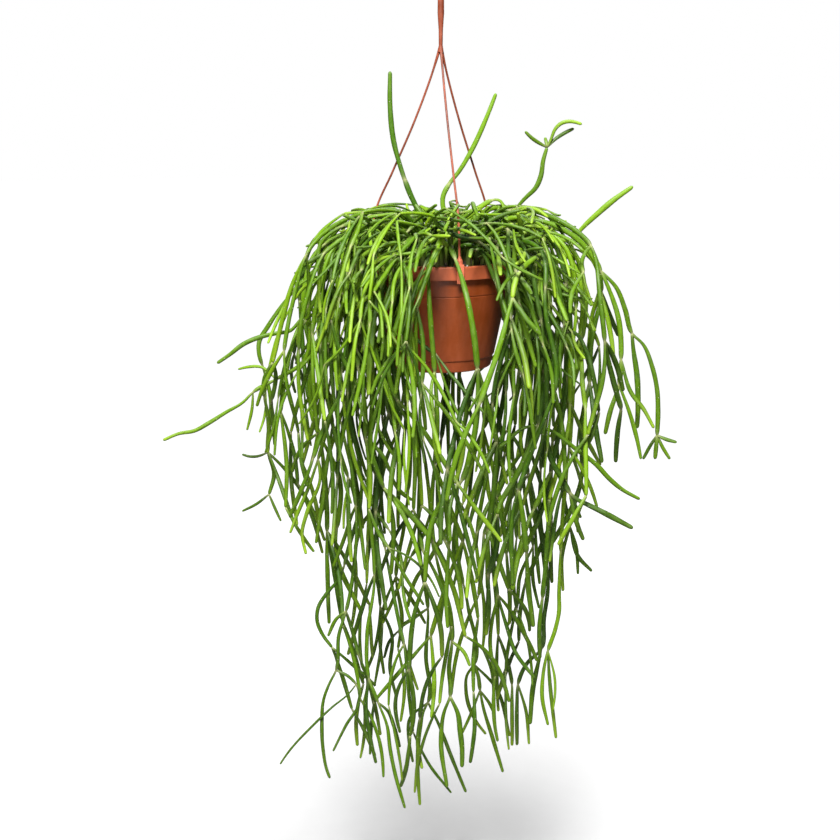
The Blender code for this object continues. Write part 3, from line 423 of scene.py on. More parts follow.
def bow(line: Array, joints: list[int], amount: float, chance: random.Random) -> Array:
    """Bends each segment a little to one side, so that the stem changes direction at its joints.

    Args:
        line: the stem's centre line.
        joints: the places of its joints.
        amount: the most that a segment's middle moves.
        chance: the source of random draws.

    Returns:
        The bent line.
    """
    bent = line.copy()
    for start, end in zip(joints, joints[1:]):
        side = scatter(chance, 1.0)
        tangent = line[end] - line[start]
        side -= tangent * side.dot(tangent) / tangent.dot(tangent)
        side *= amount * chance.uniform(0.4, 1.0) / np.linalg.norm(side)
        share = np.linspace(0.0, 1.0, end - start + 1)
        bent[start:end + 1] += np.sin(math.pi * share)[:, None] * side
    return bent


def segment_gaps(a: Array, b: Array, c: Array, d: Array) -> Array:
    """Measures the least distance between each segment a-b and each segment c-d.

    Args:
        a: starts of the first segments.
        b: their ends.
        c: starts of the second segments.
        d: their ends.

    Returns:
        A table of distances.
    """
    u = (b - a)[:, None]
    v = (d - c)[None]
    w = a[:, None] - c[None]
    uu = (u * u).sum(-1)
    vv = (v * v).sum(-1)
    uv = (u * v).sum(-1)
    uw = (u * w).sum(-1)
    vw = (v * w).sum(-1)
    base = np.maximum(uu * vv - uv * uv, 1e-9)
    s = np.clip((uv * vw - vv * uw) / base, 0.0, 1.0)
    t = np.clip((uv * s + vw) / vv, 0.0, 1.0)
    s = np.clip((uv * t - uw) / uu, 0.0, 1.0)
    apart = w + s[..., None] * u - t[..., None] * v
    return np.sqrt((apart * apart).sum(-1))


@dataclass
class Crowd:
    """Everything that a new stem has to stay clear of, kept as thick segments."""

    corner: float = 1.1
    starts: Array = field(default_factory=lambda: np.zeros((0, 3)))
    ends: Array = field(default_factory=lambda: np.zeros((0, 3)))
    radii: Array = field(default_factory=lambda: np.zeros(0))

    def add(self, centres: Array, radii: Array) -> None:
        """Adds a line of centres with its radii.

        Args:
            centres: points along the line.
            radii: a radius for each.
        """
        self.starts = np.vstack((self.starts, centres[:-1]))
        self.ends = np.vstack((self.ends, centres[1:]))
        self.radii = np.concatenate((self.radii, np.maximum(radii[:-1], radii[1:])))

    def is_clear(self, centres: Array, radii: Array, room: float) -> bool:
        """Says whether a line of centres stays clear of the crowd.

        Args:
            centres: points along the line.
            radii: a radius for each.
            room: the least gap.

        Returns:
            Whether every gap is wider.
        """
        reach = radii.max() * self.corner + self.radii * self.corner + room
        low = centres.min(0)
        high = centres.max(0)
        near = (np.minimum(self.starts, self.ends) - reach[:, None] < high).all(1)
        near &= (np.maximum(self.starts, self.ends) + reach[:, None] > low).all(1)
        if not near.any():
            return True
        gaps = segment_gaps(centres[:-1], centres[1:], self.starts[near], self.ends[near])
        own = np.maximum(radii[:-1], radii[1:])[:, None]
        return bool((gaps > (own + self.radii[near][None]) * self.corner + room).all())


@dataclass(frozen=True)
class Habit:
    """How side stems grow: segment length, chances of more, lean, fall, thickness, bend and lowest end."""

    span: Pair = (66.0, 118.0)
    more: Pair = (0.6, 0.35)
    spread: Pair = (0.4, 0.95)
    pull: Pair = (0.002, 0.008)
    thick: Pair = (0.84, 1.0)
    bend: float = 3.2
    lowest: float = -480.0


@dataclass(frozen=True)
class Sprigs:
    """Short stems of one habit: where they show from the front, how far back, and how new they have to be."""

    habit: Habit
    right: Pair
    up: Pair
    back: float
    new: float
    tries: int
    anywhere: bool = False


FRINGE = Habit((46.0, 96.0), (0.7, 0.4), (0.3, 1.1), (0.006, 0.02), (0.75, 1.0), 4.0)
CROSSING = Habit((34.0, 84.0), (0.5, 0.2), (0.5, 1.5), (0.001, 0.007), (0.7, 0.95), 5.0)
TUFT = Habit((22.0, 58.0), (0.4, 0.1), (0.6, 1.7), (0.0005, 0.006), (0.65, 0.92), 3.0)
CURTAIN = Habit((40.0, 96.0), (0.5, 0.2), (0.3, 1.1), (0.003, 0.01), (0.75, 1.0), 5.0)
TRAILING = Habit((56.0, 116.0), (0.6, 0.3), (0.2, 0.75), (0.005, 0.012), (0.8, 1.05), 7.0, -552.0)
SPRIGS = (
    Sprigs(TUFT, (-100, 110), (-2, 70), 130, 0.0, 6800, True),
    Sprigs(FRINGE, (-125, 10), (-30, 60), 0, 0.0, 4200),
    Sprigs(FRINGE, (20, 135), (-30, 60), 0, 0.0, 1300),
    Sprigs(CROSSING, (-150, 160), (-90, 70), 200, 0.0, 4200),
    Sprigs(CURTAIN, (-190, 160), (-260, -20), 200, 0.24, 7200),
    Sprigs(TRAILING, (-20, 95), (-230, -40), 200, 0.12, 2500),
    Sprigs(TRAILING, (-125, 112), (-500, -110), 200, 0.4, 5000),
    Sprigs(TRAILING, (-122, -28), (-490, -330), 200, 0.3, 2600),
    Sprigs(TRAILING, (-70, 72), (-510, -400), 200, 0.3, 1500),
)


def in_zone(zone: Zone, right: Array, up: Array) -> Array:
    """Says which places on the front view lie in a zone of left, right, low and high."""
    return (right > zone[0]) & (right < zone[1]) & (up > zone[2]) & (up < zone[3])


@dataclass
class Gaps:
    """Cells of the plant's front view, and whether a stem or the open part of the pot fills each."""

    cell: float = 5.0
    left: float = -260.0
    down: float = -640.0
    columns: int = 104
    rows: int = 148
    pot_shows: Zone = (-12.0, 58.0, -118.0, 2.0)
    open_pot: Zone = (-26.0, 62.0, -118.0, 2.0)
    clip_shows: Zone = (12.0, 28.0, -24.0, 18.0)
    eye: Eye = Eye()

    def __post_init__(self) -> None:
        """Marks the open part of the pot."""
        self.full = np.zeros((self.rows, self.columns), bool)
        left, right, low, high = self.pot_shows
        rows = slice(int((low - self.down) / self.cell), int((high - self.down) / self.cell))
        self.full[rows, int((left - self.left) / self.cell):int((right - self.left) / self.cell)] = True

    def cells(self, line: Array) -> tuple[Array, Array]:
        """Finds the cells that a line crosses where the pot doesn't hide it.

        Args:
            line: the stem's centre line.

        Returns:
            Their rows and columns.
        """
        right, up = self.eye.shown(line)
        hidden = (line[:, 1] > 0.0) & (np.abs(right) < POT.wall_top_radius) & (up < 0.0) & (up > -POT.height)
        rows = np.clip((up[~hidden] - self.down) / self.cell, 0, self.rows - 1).astype(int)
        return rows, np.clip((right[~hidden] - self.left) / self.cell, 0, self.columns - 1).astype(int)

    def fill(self, line: Array) -> None:
        """Marks the cells that a line crosses."""
        self.full[self.cells(line)] = True

    def share(self, line: Array) -> float:
        """Gives the share of a line that crosses empty cells."""
        return (~self.full[self.cells(line)]).sum() / len(line)

    def over(self, zone: Zone, line: Array) -> float:
        """Gives the share of a line that crosses a zone."""
        return in_zone(zone, *self.eye.shown(line)).mean()


@dataclass
class Growth:
    """Grows the plant's rooted stems by the rules that its solids follow, then adds finer side stems."""

    seed: int = 41
    clear: float = 0.9
    own_clear: float = 0.5
    segment: float = 104.0
    longest_segment: float = 138.0
    neck: float = 0.64
    shown_neck: float = 0.86
    straight_stations: tuple = ((0.28, 0.98), (0.74, 1.02))
    curved_stations: tuple = ((0.22, 0.96), (0.52, 1.04), (0.82, 1.0))
    root_width: float = 0.9
    before_tip: Pair = (0.8, 0.86)
    tip_widths: Pair = (0.5, 0.66)
    curved: float = math.cos(math.radians(26.0))
    short: float = 46.0
    tries: int = 220
    most_shift: float = 42.0
    fill_ways: tuple = (
        -172, -163, -154, -146, -138, -130, -121, -112, -104, -52, -44, -36, -28, -19, -9, 2, 14, 26, 38,
        52, 68, 84, 100, 116, 130, 142, 153, 164, 174, -117, -108, -126,
    )
    fill_choices: int = 4
    side_tries: int = 16000
    side: Habit = Habit()
    joint_sprigs: int = 3
    over_pot: float = 0.46
    sprig_depths: Pair = (-192.0, 152.0)
    fill_bow: float = 5.0
    most_new: float = 0.8
    least_new: float = 0.34
    most_stems: int = 16
    plant_length: float = 48000.0
    root_zone: float = 62.0
    free_step: float = 14.0
    wander: float = 0.035
    elbow: float = 0.34
    thinnest_parents: Pair = (2.0, 1.6)
    outline_up: tuple = (-530, -494, -444, -394, -304, -244, -144, -44, 16, 48, 56)
    outline_left: tuple = (-60, -105, -115, -115, -142, -176, -186, -164, -132, -90, 0)
    outline_right: tuple = (30, 85, 105, 112, 160, 172, 190, 190, 160, 112, 0)
    round_up: tuple = (-480, -400, -330, -260, -120, 0, 60)
    round_reach: tuple = (95, 118, 128, 170, 200, 190, 120)
    eye: Eye = Eye()

    def __post_init__(self) -> None:
        """Starts the random draws."""
        self.chance = random.Random(self.seed)
        self.root_straight = ROOT_HEIGHTS[2] - ROOT_HEIGHTS[0]

    def add_joints(self, line: Array, joints: list[int]) -> list[int]:
        """Adds joints between those that lie too far apart.

        Args:
            line: the stem's centre line.
            joints: the places of the given joints.

        Returns:
            The places of all joints.
        """
        along = lengths(line)
        full = []
        for start, end in zip(joints, joints[1:]):
            full.append(start)
            span = along[end] - along[start]
            parts = 1 if span <= self.longest_segment else max(2, round(span / self.segment))
            for part in range(1, parts):
                full.append(int(np.searchsorted(along, along[start] + span * part / parts)))
        return full + [joints[-1]]

    def widths(self, line: Array, span: float) -> tuple:
        """Picks the stations of one segment, more where it curves.

        Args:
            line: the segment's centre line.
            span: its length.

        Returns:
            Pairs of share and width.
        """
        leave = line[1] - line[0]
        arrive = line[-1] - line[-2]
        turn = leave.dot(arrive) / (np.linalg.norm(leave) * np.linalg.norm(arrive))
        if span < self.short:
            return self.straight_stations[:1]
        return self.straight_stations if turn > self.curved else self.curved_stations

    def stations(self, stem: Stem) -> tuple[Array, Array]:
        """Finds the centres and radii that the stem's solid has.

        Args:
            stem: the grown stem.

        Returns:
            The centres and a radius for each.
        """
        along = lengths(stem.line)
        places = []
        radii = []
        for number, (start, end) in enumerate(zip(stem.joints, stem.joints[1:])):
            low = along[start]
            span = along[end] - low
            places.append(low)
            radii.append(stem.radius * (self.neck if number else self.root_width))
            if number == 0 and stem.root:
                places.append(stem.root)
                radii.append(stem.radius * self.root_width)
            for share, width in self.widths(stem.line[start:end + 1], span):
                if low + span * share > stem.root + 8.0 or not stem.root:
                    places.append(low + span * share)
                    radii.append(stem.radius * width)
        if stem.root:
            places.append(along[-1] - stem.radius * self.before_tip[0])
            radii.append(stem.radius * self.before_tip[1])
        places.append(along[-1])
        radii.append(stem.radius * self.tip_widths[0 if stem.root else 1])
        return points_at(stem.line, np.array(places)), np.array(radii)

    def clears_pot(self, centres: Array, radius: float) -> bool:
        """Says whether a stem stays outside the pot's wall and rim, and above the soil but for its root.

        Args:
            centres: points along the stem.
            radius: its radius.

        Returns:
            Whether it is clear.
        """
        points = [centres[:-1] + (centres[1:] - centres[:-1]) * share for share in (0.0, 0.25, 0.5, 0.75)]
        points = np.vstack(points)
        reach = np.hypot(points[:, 0], points[:, 1])
        height = points[:, 2]
        room = radius * 1.1 + 1.0
        rim = (reach > POT.rim_inner_radius - room) & (reach < POT.rim_radius + room) & (height < room)
        rim &= height > -POT.rim_height - room
        slope = (POT.wall_top_radius - POT.base_radius) / POT.height
        wall = reach < POT.wall_top_radius + slope * height + room + 1.0
        wall &= (height < -POT.rim_height) & (height > -POT.height - room)
        wall &= (reach > self.root_zone) | (height < SOIL.top - SOIL.root_depth - 1.0)
        soil = (reach < POT.rim_inner_radius) & (height < SOIL.top + SOIL.crown + room)
        rooted = np.hypot(points[:, 0] - centres[0, 0], points[:, 1] - centres[0, 1]) < 1.0
        return not (rim | wall | (soil & ~rooted)).any()

    def in_outline(self, points: Array) -> bool:
        """Says whether points stay within the plant's width, from the front and all round.

        Args:
            points: rows of x, y and z.

        Returns:
            Whether all of them do.
        """
        right, up = self.eye.shown(points)
        reach = np.hypot(points[:, 0], points[:, 1])
        left_edge = np.interp(up, self.outline_up, self.outline_left)
        right_edge = np.interp(up, self.outline_up, self.outline_right)
        round_edge = np.interp(points[:, 2], self.round_up, self.round_reach)
        return bool(((right > left_edge) & (right < right_edge) & (reach < round_edge)).all())

    def carrier(self, first: Array, lift: float) -> list[Array]:
        """Leads a stem from the soil, up over the rim and down to the first point that shows.

        Args:
            first: the point that shows.
            lift: how high the crest is at least.

        Returns:
            The points of the way, without the first that shows.
        """
        chance = self.chance
        way = math.atan2(first[1], first[0]) + chance.uniform(-0.35, 0.35)
        out = math.hypot(first[0], first[1])
        root = chance.uniform(14.0, 56.0)
        crest = max(root + 16.0, chance.uniform(60.0, 78.0))
        high = lift + chance.uniform(6.0, 40.0)
        shoulder = max(out * chance.uniform(0.88, 1.0), chance.uniform(88.0, 112.0))
        aim = math.atan2(first[1], first[0])
        spots = [(root, height, way) for height in ROOT_HEIGHTS]
        spots += [
            (root + 5.0, 8.0 + high * 0.35, way),
            (crest, high, way * 0.7 + aim * 0.3),
        ]
        if first[2] < high - 45.0:
            drop = first[2] - high
            spots.append((shoulder, high + max(drop * 0.25, -34.0), way * 0.3 + aim * 0.7))
        hang = int(-first[2] // 95.0)
        for step in range(1, hang):
            share = step / hang
            spread = shoulder + (out - shoulder) * share + 8.0 * math.sin(math.pi * share)
            turn = aim + chance.uniform(-0.07, 0.07)
            spots.append((spread, first[2] * share, turn))
        return [around(reach, turn, height) for reach, height, turn in spots]

    def hanging(self, start: Array, heading: Array, span: float, pull: float) -> list[Array]:
        """Grows a free stem that bends down under its own weight.

        Args:
            start: where it begins.
            heading: the direction it leaves in.
            span: its length.
            pull: how fast it turns down.

        Returns:
            Its points.
        """
        points = [start]
        heading = unit(heading)
        for _ in range(max(2, round(span / self.free_step))):
            heading = heading + DOWN * pull * self.free_step
            heading = unit(heading + scatter(self.chance, self.wander))
            points.append(points[-1] + heading * self.free_step)
        return points

    def side_stem(self, parent: Stem, joint: int, habit: Habit) -> Stem | None:
        """Grows a stem of one to three segments from a joint.

        Args:
            parent: the stem it grows from.
            joint: the place of the joint on its line.
            habit: how it grows.

        Returns:
            The stem, or None where it would spread too far.
        """
        chance = self.chance
        ahead = unit(parent.line[min(joint + 4, len(parent.line) - 1)] - parent.line[max(joint - 4, 0)])
        side = scatter(chance, 1.0)
        side = unit(side - ahead * side.dot(ahead))
        segments = 1 + sum(chance.random() < share for share in habit.more)
        heading = ahead + side * chance.uniform(*habit.spread)
        points = [parent.line[joint]]
        marks = [0]
        for _ in range(segments):
            span = chance.uniform(*habit.span)
            pull = chance.uniform(*habit.pull)
            points += self.hanging(points[-1], unit(heading), span, pull)[1:]
            marks.append(len(points) - 1)
            heading = unit(points[-1] - points[-2]) + scatter(chance, self.elbow)
        if points[-1][2] < habit.lowest or not self.in_outline(np.array(points[1:])):
            return None
        line, places = smooth(points)
        joints = [places[mark] for mark in marks]
        line = bow(line, joints, habit.bend, chance)
        return Stem(line, joints, parent.radius * chance.uniform(*habit.thick))

    def grow_shoots(self, shoots: tuple, parent: Stem, places: list[int]) -> list[Stem]:
        """Grows the side shoots of a route, each from its joint on the parent.

        Args:
            shoots: the shoots.
            parent: the stem they grow from.
            places: the places of the parent's own points on its line.

        Returns:
            Their stems.
        """
        grown = []
        for shoot in shoots:
            start = parent.line[places[shoot.at]]
            step = shoot.back / len(shoot.points)
            points = [start]
            for number, spot in enumerate(shoot.points, 1):
                points.append(self.eye.spot(*spot, start[1] + step * number))
            line, own_places = smooth(points)
            own_places = own_places[1:]
            marks = sorted({0, len(line) - 1} | {own_places[inner.at] for inner in shoot.shoots})
            stem = Stem(line, self.add_joints(line, marks), shoot.radius)
            grown.append(stem)
            grown += self.grow_shoots(shoot.shoots, stem, own_places)
        return grown

    def grow_route(self, route: Route, shift: float) -> list[Stem]:
        """Grows one tree that shows, with its way up out of the soil.

        Args:
            route: the tree's route.
            shift: how far back it is moved.

        Returns:
            Its stems, the rooted one first.
        """
        step = (route.far - route.near) / (len(route.points) - 1)
        spots = []
        for number, spot in enumerate(route.points):
            spots.append(self.eye.spot(*spot, route.near + shift + step * number))
        if route.upright:
            lead = [np.array((spots[0][0], spots[0][1], height)) for height in ROOT_HEIGHTS]
            line, places = smooth(lead + spots[1:])
            places = places[len(lead) - 1:]
        else:
            lead = self.carrier(spots[0], max(0.0, spots[0][2] - 6.0))
            line, places = smooth(lead + spots)
            places = places[len(lead):]
        marks = sorted({0, len(line) - 1} | {places[shoot.at] for shoot in route.shoots})
        stem = Stem(line, self.add_joints(line, marks), route.radius, self.root_straight, tint=route.tint)
        if route.tint is not None:
            stem.neck = self.shown_neck
        return [stem] + self.grow_shoots(route.shoots, stem, places)

    def grow_fill(self, way: float) -> list[Stem]:
        """Grows a tree that fills the crown and the curtain.

        Args:
            way: the direction it hangs in.

        Returns:
            Its one stem.
        """
        chance = self.chance
        aside = abs(math.cos(way))
        reach = 94.0 + (52.0 + 46.0 * aside) * chance.random() ** 0.8
        depth = -chance.uniform(150.0, 300.0) - (190.0 - reach) * chance.uniform(0.3, 1.9)
        root = chance.uniform(8.0, 58.0)
        high = chance.uniform(14.0, 50.0)
        cross = chance.uniform(-1.0, 1.0) * (64.0 - root) / 40.0
        sway = [chance.uniform(-0.1, 0.1) for _ in range(12)]
        spots = [(root, height, cross) for height in ROOT_HEIGHTS]
        spots += [
            (root + 6.0, 6.0 + high * 0.4, cross * 0.9),
            (max(root + 18.0, 62.0), high, cross * 0.55),
            (reach * 0.84 + 8.0, high * 0.45, cross * 0.2),
            (reach, -32.0, 0.0),
            (reach + chance.uniform(-6.0, 12.0), -95.0, sway[0]),
        ]
        level = -160.0
        while level > depth:
            inward = max(reach - (-level - 100.0) * 0.17, 58.0)
            spots.append((inward + chance.uniform(-10.0, 10.0), level, sway[len(spots) - 7]))
            level -= 72.0
        line, _ = smooth([around(out, way + turn, height) for out, height, turn in spots])
        joints = self.add_joints(line, [0, len(line) - 1])
        line = bow(line, joints[1:], self.fill_bow, chance)
        return [Stem(line, joints, chance.uniform(2.3, 3.0), self.root_straight)]

    def fits(self, stem: Stem, crowd: Crowd) -> bool:
        """Says whether a stem is clear of the pot and of a crowd."""
        centres, radii = self.stations(stem)
        return self.clears_pot(centres, stem.radius) and crowd.is_clear(centres, radii, self.clear)

    def grow_shown(self, route: Route, crowd: Crowd) -> list[Stem] | None:
        """Grows the tree of a route at the first depth where there is room.

        Args:
            route: the tree's route.
            crowd: what it has to clear.

        Returns:
            Its stems, or None where there is no room.
        """
        for attempt in range(self.tries):
            shift = self.chance.uniform(-1.0, 1.0) * min(attempt * 0.8, self.most_shift)
            tree = self.grow_route(route, shift)
            if all(self.fits(stem, crowd) for stem in tree):
                return tree
        return None

    def grow_filling(self, way: float, crowd: Crowd, gaps: Gaps) -> list[Stem] | None:
        """Grows the filling tree that closes most of the gaps, of a few that have room.

        Args:
            way: the direction it hangs in.
            crowd: what it has to clear.
            gaps: the gaps of the front view.

        Returns:
            Its one stem, or None where there is no room.
        """
        choices = []
        for _ in range(self.tries):
            tree = self.grow_fill(way + self.chance.uniform(-0.2, 0.2))
            if self.in_outline(tree[0].line) and self.fits(tree[0], crowd):
                choices.append(tree)
            if len(choices) == self.fill_choices:
                break
        return max(choices, key=lambda tree: gaps.share(tree[0].line) * len(tree[0].line), default=None)

    def can_branch(self, tree: list[Stem], parent: Stem, spot: Array) -> bool:
        """Says whether a side stem may grow at a spot: outside the rim, well above it, or below the pot.

        Args:
            tree: the tree's stems so far.
            parent: the stem it would grow from.
            spot: the joint's point.

        Returns:
            Whether it may.
        """
        if parent.radius < self.thinnest_parents[0] or len(tree) > self.most_stems:
            return False
        outside = math.hypot(spot[0], spot[1]) > POT.rim_radius + 4.0
        return outside or spot[2] > 14.0 or spot[2] < -POT.height

    def add_side_stems(self, trees: list, fixed: Crowd, gaps: Gaps) -> None:
        """Adds side stems that grow from joints into the gaps, until the plant has its length of stem.

        Args:
            trees: the trees, each a list of stems.
            fixed: what no stem may touch.
            gaps: the gaps of the front view.
        """
        chance = self.chance
        crowds = []
        for tree in trees:
            crowds.append(Crowd())
            for stem in tree:
                crowds[-1].add(*self.stations(stem))
        total = sum(lengths(stem.line)[-1] for tree in trees for stem in tree)
        for attempt in range(self.side_tries):
            if total > self.plant_length:
                break
            number = chance.randrange(len(trees))
            parent = chance.choice(trees[number])
            joint = chance.choice(parent.joints[1:])
            if joint == parent.joints[-1] or not self.can_branch(trees[number], parent, parent.line[joint]):
                continue
            stem = self.side_stem(parent, joint, self.side)
            wanted = self.most_new + (self.least_new - self.most_new) * attempt / self.side_tries
            if stem is None or gaps.share(stem.line) < wanted or not self.fits(stem, fixed):
                continue
            centres, radii = self.stations(stem)
            if not crowds[number].is_clear(centres[2:], radii[2:], self.own_clear):
                continue
            others = [crowd for crowd in crowds if crowd is not crowds[number]]
            if all(crowd.is_clear(centres, radii, self.clear) for crowd in others):
                crowds[number].add(centres, radii)
                gaps.fill(stem.line)
                trees[number].append(stem)
                total += lengths(stem.line)[-1]

    def add_sprigs(self, trees: list, crowd: Crowd, gaps: Gaps, plan: Sprigs) -> int:
        """Adds short stems that cross in the crown, hang over the rim or thicken the curtain.

        Args:
            trees: the trees, each a list of stems.
            crowd: what no stem may touch.
            gaps: the gaps of the front view.
            plan: which stems, and where.

        Returns:
            How many it added.
        """
        sites = []
        for tree in trees:
            for stem in tree:
                spots = range(12, len(stem.line) - 6, 6) if plan.anywhere else stem.joints
                spots = np.array([spot for spot in spots if spot], int)
                shown = in_zone((*plan.right, *plan.up), *self.eye.shown(stem.line[spots]))
                shown &= (stem.line[spots, 1] < plan.back) & (stem.radius > self.thinnest_parents[1])
                sites += [(tree, stem, spot) for spot in spots[shown]]
        used: dict[tuple[int, int], int] = {}
        for _ in range(plan.tries):
            tree, parent, joint = self.chance.choice(sites)
            site = (id(parent), joint)
            stem = self.side_stem(parent, joint, plan.habit)
            if stem is None or used.get(site, 0) >= self.joint_sprigs or gaps.share(stem.line) < plan.new:
                continue
            centres = stem.line[3::4]
            right = self.eye.shown(stem.line)[0]
            depth = stem.line[:, 1]
            if right.min() < plan.right[0] or right.max() > plan.right[1] or depth.max() > plan.back:
                continue
            if depth.min() < self.sprig_depths[0] or depth.max() > self.sprig_depths[1]:
                continue
            if gaps.over(gaps.open_pot, stem.line) > self.over_pot or gaps.over(gaps.clip_shows, stem.line):
                continue
            radii = np.full(len(centres), stem.radius)
            if self.clears_pot(centres, stem.radius) and crowd.is_clear(centres, radii, 0.0):
                crowd.add(centres, radii)
                gaps.fill(stem.line)
                tree.append(stem)
                used[site] = used.get(site, 0) + 1
        return sum(used.values())

    def grow(self, fixed: Crowd) -> list[list[Stem]]:
        """Grows every rooted tree of the plant.

        Args:
            fixed: what no stem may touch.

        Returns:
            The trees, each a list of stems with the rooted one first.
        """
        crowd = replace(fixed)
        gaps = Gaps()
        trees = []
        for plan in (*ROUTES, *self.fill_ways):
            if isinstance(plan, Route):
                tree = self.grow_shown(plan, crowd)
            else:
                tree = self.grow_filling(math.radians(plan), crowd, gaps)
            if tree is not None:
                trees.append(tree)
                for stem in tree:
                    crowd.add(*self.stations(stem))
                    gaps.fill(stem.line)
        self.add_side_stems(trees, fixed, gaps)
        crowd = replace(fixed)
        for stem in (stem for tree in trees for stem in tree):
            crowd.add(*self.stations(stem))
        for plan in SPRIGS:
            LOG.info("%d short stems", self.add_sprigs(trees, crowd, gaps, plan))
        return trees


class Slot(Enum):
    """The record's material slots."""

    POT = "terracotta_plastic"
    SOIL = "potting_soil"
    HANGER = "hanger_plastic"
    LIGHT = "stem_green_light"
    MID = "stem_green_mid"
    DARK = "stem_green_dark"


def placed(name: str, data: bpy.types.ID) -> Piece:
    """Puts something into the scene.

    Args:
        name: the object's name.
        data: its mesh, light or camera.

    Returns:
        The object.
    """
    made = bpy.data.objects.new(name, data)
    bpy.context.scene.collection.objects.link(made)
    return made


def add_body(name: str, points: Array, faces: Faces) -> Piece:
    """Adds a mesh.

    Args:
        name: the object's name.
        points: its vertices.
        faces: its faces, as places in points.

    Returns:
        The object.
    """
    mesh = bpy.data.meshes.new(name)
    mesh.from_pydata(to_metres(points).tolist(), [], faces)
    return placed(name, mesh)


def dressed(piece: Piece, finish: Material, node: str) -> Piece:
    """Gives a piece its finish, and lets it ride on the body and stand for its solid.

    Args:
        piece: the object.
        finish: its material.
        node: the solid that it stands for.

    Returns:
        The same object.
    """
    piece.data.materials.clear()
    piece.data.materials.append(finish)
    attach(piece, BODY)
    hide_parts(node)
    LOG.info("%s: %d faces, stands for %s", piece.name, len(piece.data.polygons), node)
    return piece


@dataclass
class Draft:
    """The vertices, faces and surface values of one piece while it is made."""

    points: list[Array] = field(default_factory=list)
    faces: Faces = field(default_factory=list)
    values: dict[str, list[Array]] = field(default_factory=dict)
    count: int = 0

    def add(self, points: Array, faces: Faces, **values: Array) -> None:
        """Adds one body.

        Args:
            points: its vertices.
            faces: its faces, as places in points.
            values: a number, or a row of three, for each vertex.
        """
        start = self.count
        self.points.append(points)
        self.faces += [tuple(corner + start for corner in face) for face in faces]
        for name, numbers in values.items():
            self.values.setdefault(name, []).append(np.asarray(numbers, float))
        self.count += len(points)

    def piece(self, name: str, finish: Material, slot: Slot, node: str) -> Piece:
        """Makes the object, smooth all over.

        Args:
            name: the object's name.
            finish: its material.
            slot: its slot in the record; not used.
            node: the solid that it stands for.

        Returns:
            The object.
        """
        made = add_body(name, np.vstack(self.points), self.faces)
        for label, rows in self.values.items():
            numbers = np.concatenate(rows)
            kind, key = ("FLOAT", "value") if numbers.ndim == 1 else ("FLOAT_VECTOR", "vector")
            made.data.attributes.new(label, kind, "POINT").data.foreach_set(key, numbers.ravel())
        made.data.shade_smooth()
        return dressed(made, finish, node)


def read_body(work: bmesh.types.BMesh) -> tuple[Array, Faces]:
    """Reads a worked mesh, then frees it.

    Args:
        work: the mesh.

    Returns:
        Its vertices and faces.
    """
    work.verts.index_update()
    points = np.array([vertex.co[:] for vertex in work.verts])
    faces = [tuple(vertex.index for vertex in face.verts) for face in work.faces]
    work.free()
    return points, faces


def bands(rings: int, sides: int, first: int = 0) -> Faces:
    """Lists the quads between rings of vertices.

    Args:
        rings: how many rings there are.
        sides: how many vertices each ring has.
        first: the place of the first vertex.

    Returns:
        The faces.
    """
    faces = []
    for low in range(first, first + (rings - 1) * sides, sides):
        for side in range(sides):
            after = (side + 1) % sides
            faces.append((low + side, low + after, low + sides + after, low + sides + side))
    return faces


def tube_faces(rings: int, sides: int) -> Faces:
    """Lists the faces of a tube: quads between its rings, and a flat cap at each end."""
    caps = [tuple(reversed(range(sides))), tuple(range((rings - 1) * sides, rings * sides))]
    return bands(rings, sides) + caps


def frames(centres: Array) -> tuple[Array, Array]:
    """Carries a pair of cross directions along a line with as little turning as it allows.

    Args:
        centres: the line's points.

    Returns:
        The two directions at each point.
    """
    tangents = np.gradient(centres, axis=0)
    tangents /= np.linalg.norm(tangents, axis=1)[:, None]
    across = np.empty_like(tangents)
    last = np.array((0.0, 1.0, 0.0) if abs(tangents[0][0]) > 0.9 else (1.0, 0.0, 0.0))
    for place, tangent in enumerate(tangents):
        last = last - tangent * last.dot(tangent)
        last = last / np.linalg.norm(last)
        across[place] = last
    return across, np.cross(tangents, across)


def tube_points(centres: Array, radii: Array, sides: int, squash: float = 1.0) -> Array:
    """Places the vertices of a tube.

    Args:
        centres: the line's points.
        radii: a radius for each.
        sides: the vertices of a ring.
        squash: the thickness across, as a share of the width.

    Returns:
        The vertices, ring by ring.
    """
    across, up = frames(centres)
    angles = np.arange(sides) * math.tau / sides
    wide = np.repeat(radii[:, None], sides, axis=1)
    points = centres[:, None] + across[:, None] * (wide * np.cos(angles))[..., None]
    points = points + up[:, None] * (wide * np.sin(angles) * squash)[..., None]
    return points.reshape(-1, 3)


def turned(profile: list[Pair], sides: int) -> tuple[Array, Faces]:
    """Turns a profile round the upright axis.

    Args:
        profile: radius and height pairs; the first and the last lie on the axis.
        sides: how many steps go round.

    Returns:
        The vertices and the faces.
    """
    angles = np.arange(sides) * math.tau / sides
    points = [np.array(((0.0, 0.0, profile[0][1]),))]
    for radius, height in profile[1:-1]:
        flat = np.full(sides, height)
        points.append(np.stack((radius * np.cos(angles), radius * np.sin(angles), flat), axis=1))
    points.append(np.array(((0.0, 0.0, profile[-1][1]),)))
    rings = len(profile) - 2
    last = 1 + rings * sides
    faces = []
    for side in range(sides):
        after = (side + 1) % sides
        faces.append((0, 1 + after, 1 + side))
        faces.append((last, last - sides + side, last - sides + after))
    return np.vstack(points), faces + bands(rings, sides, 1)


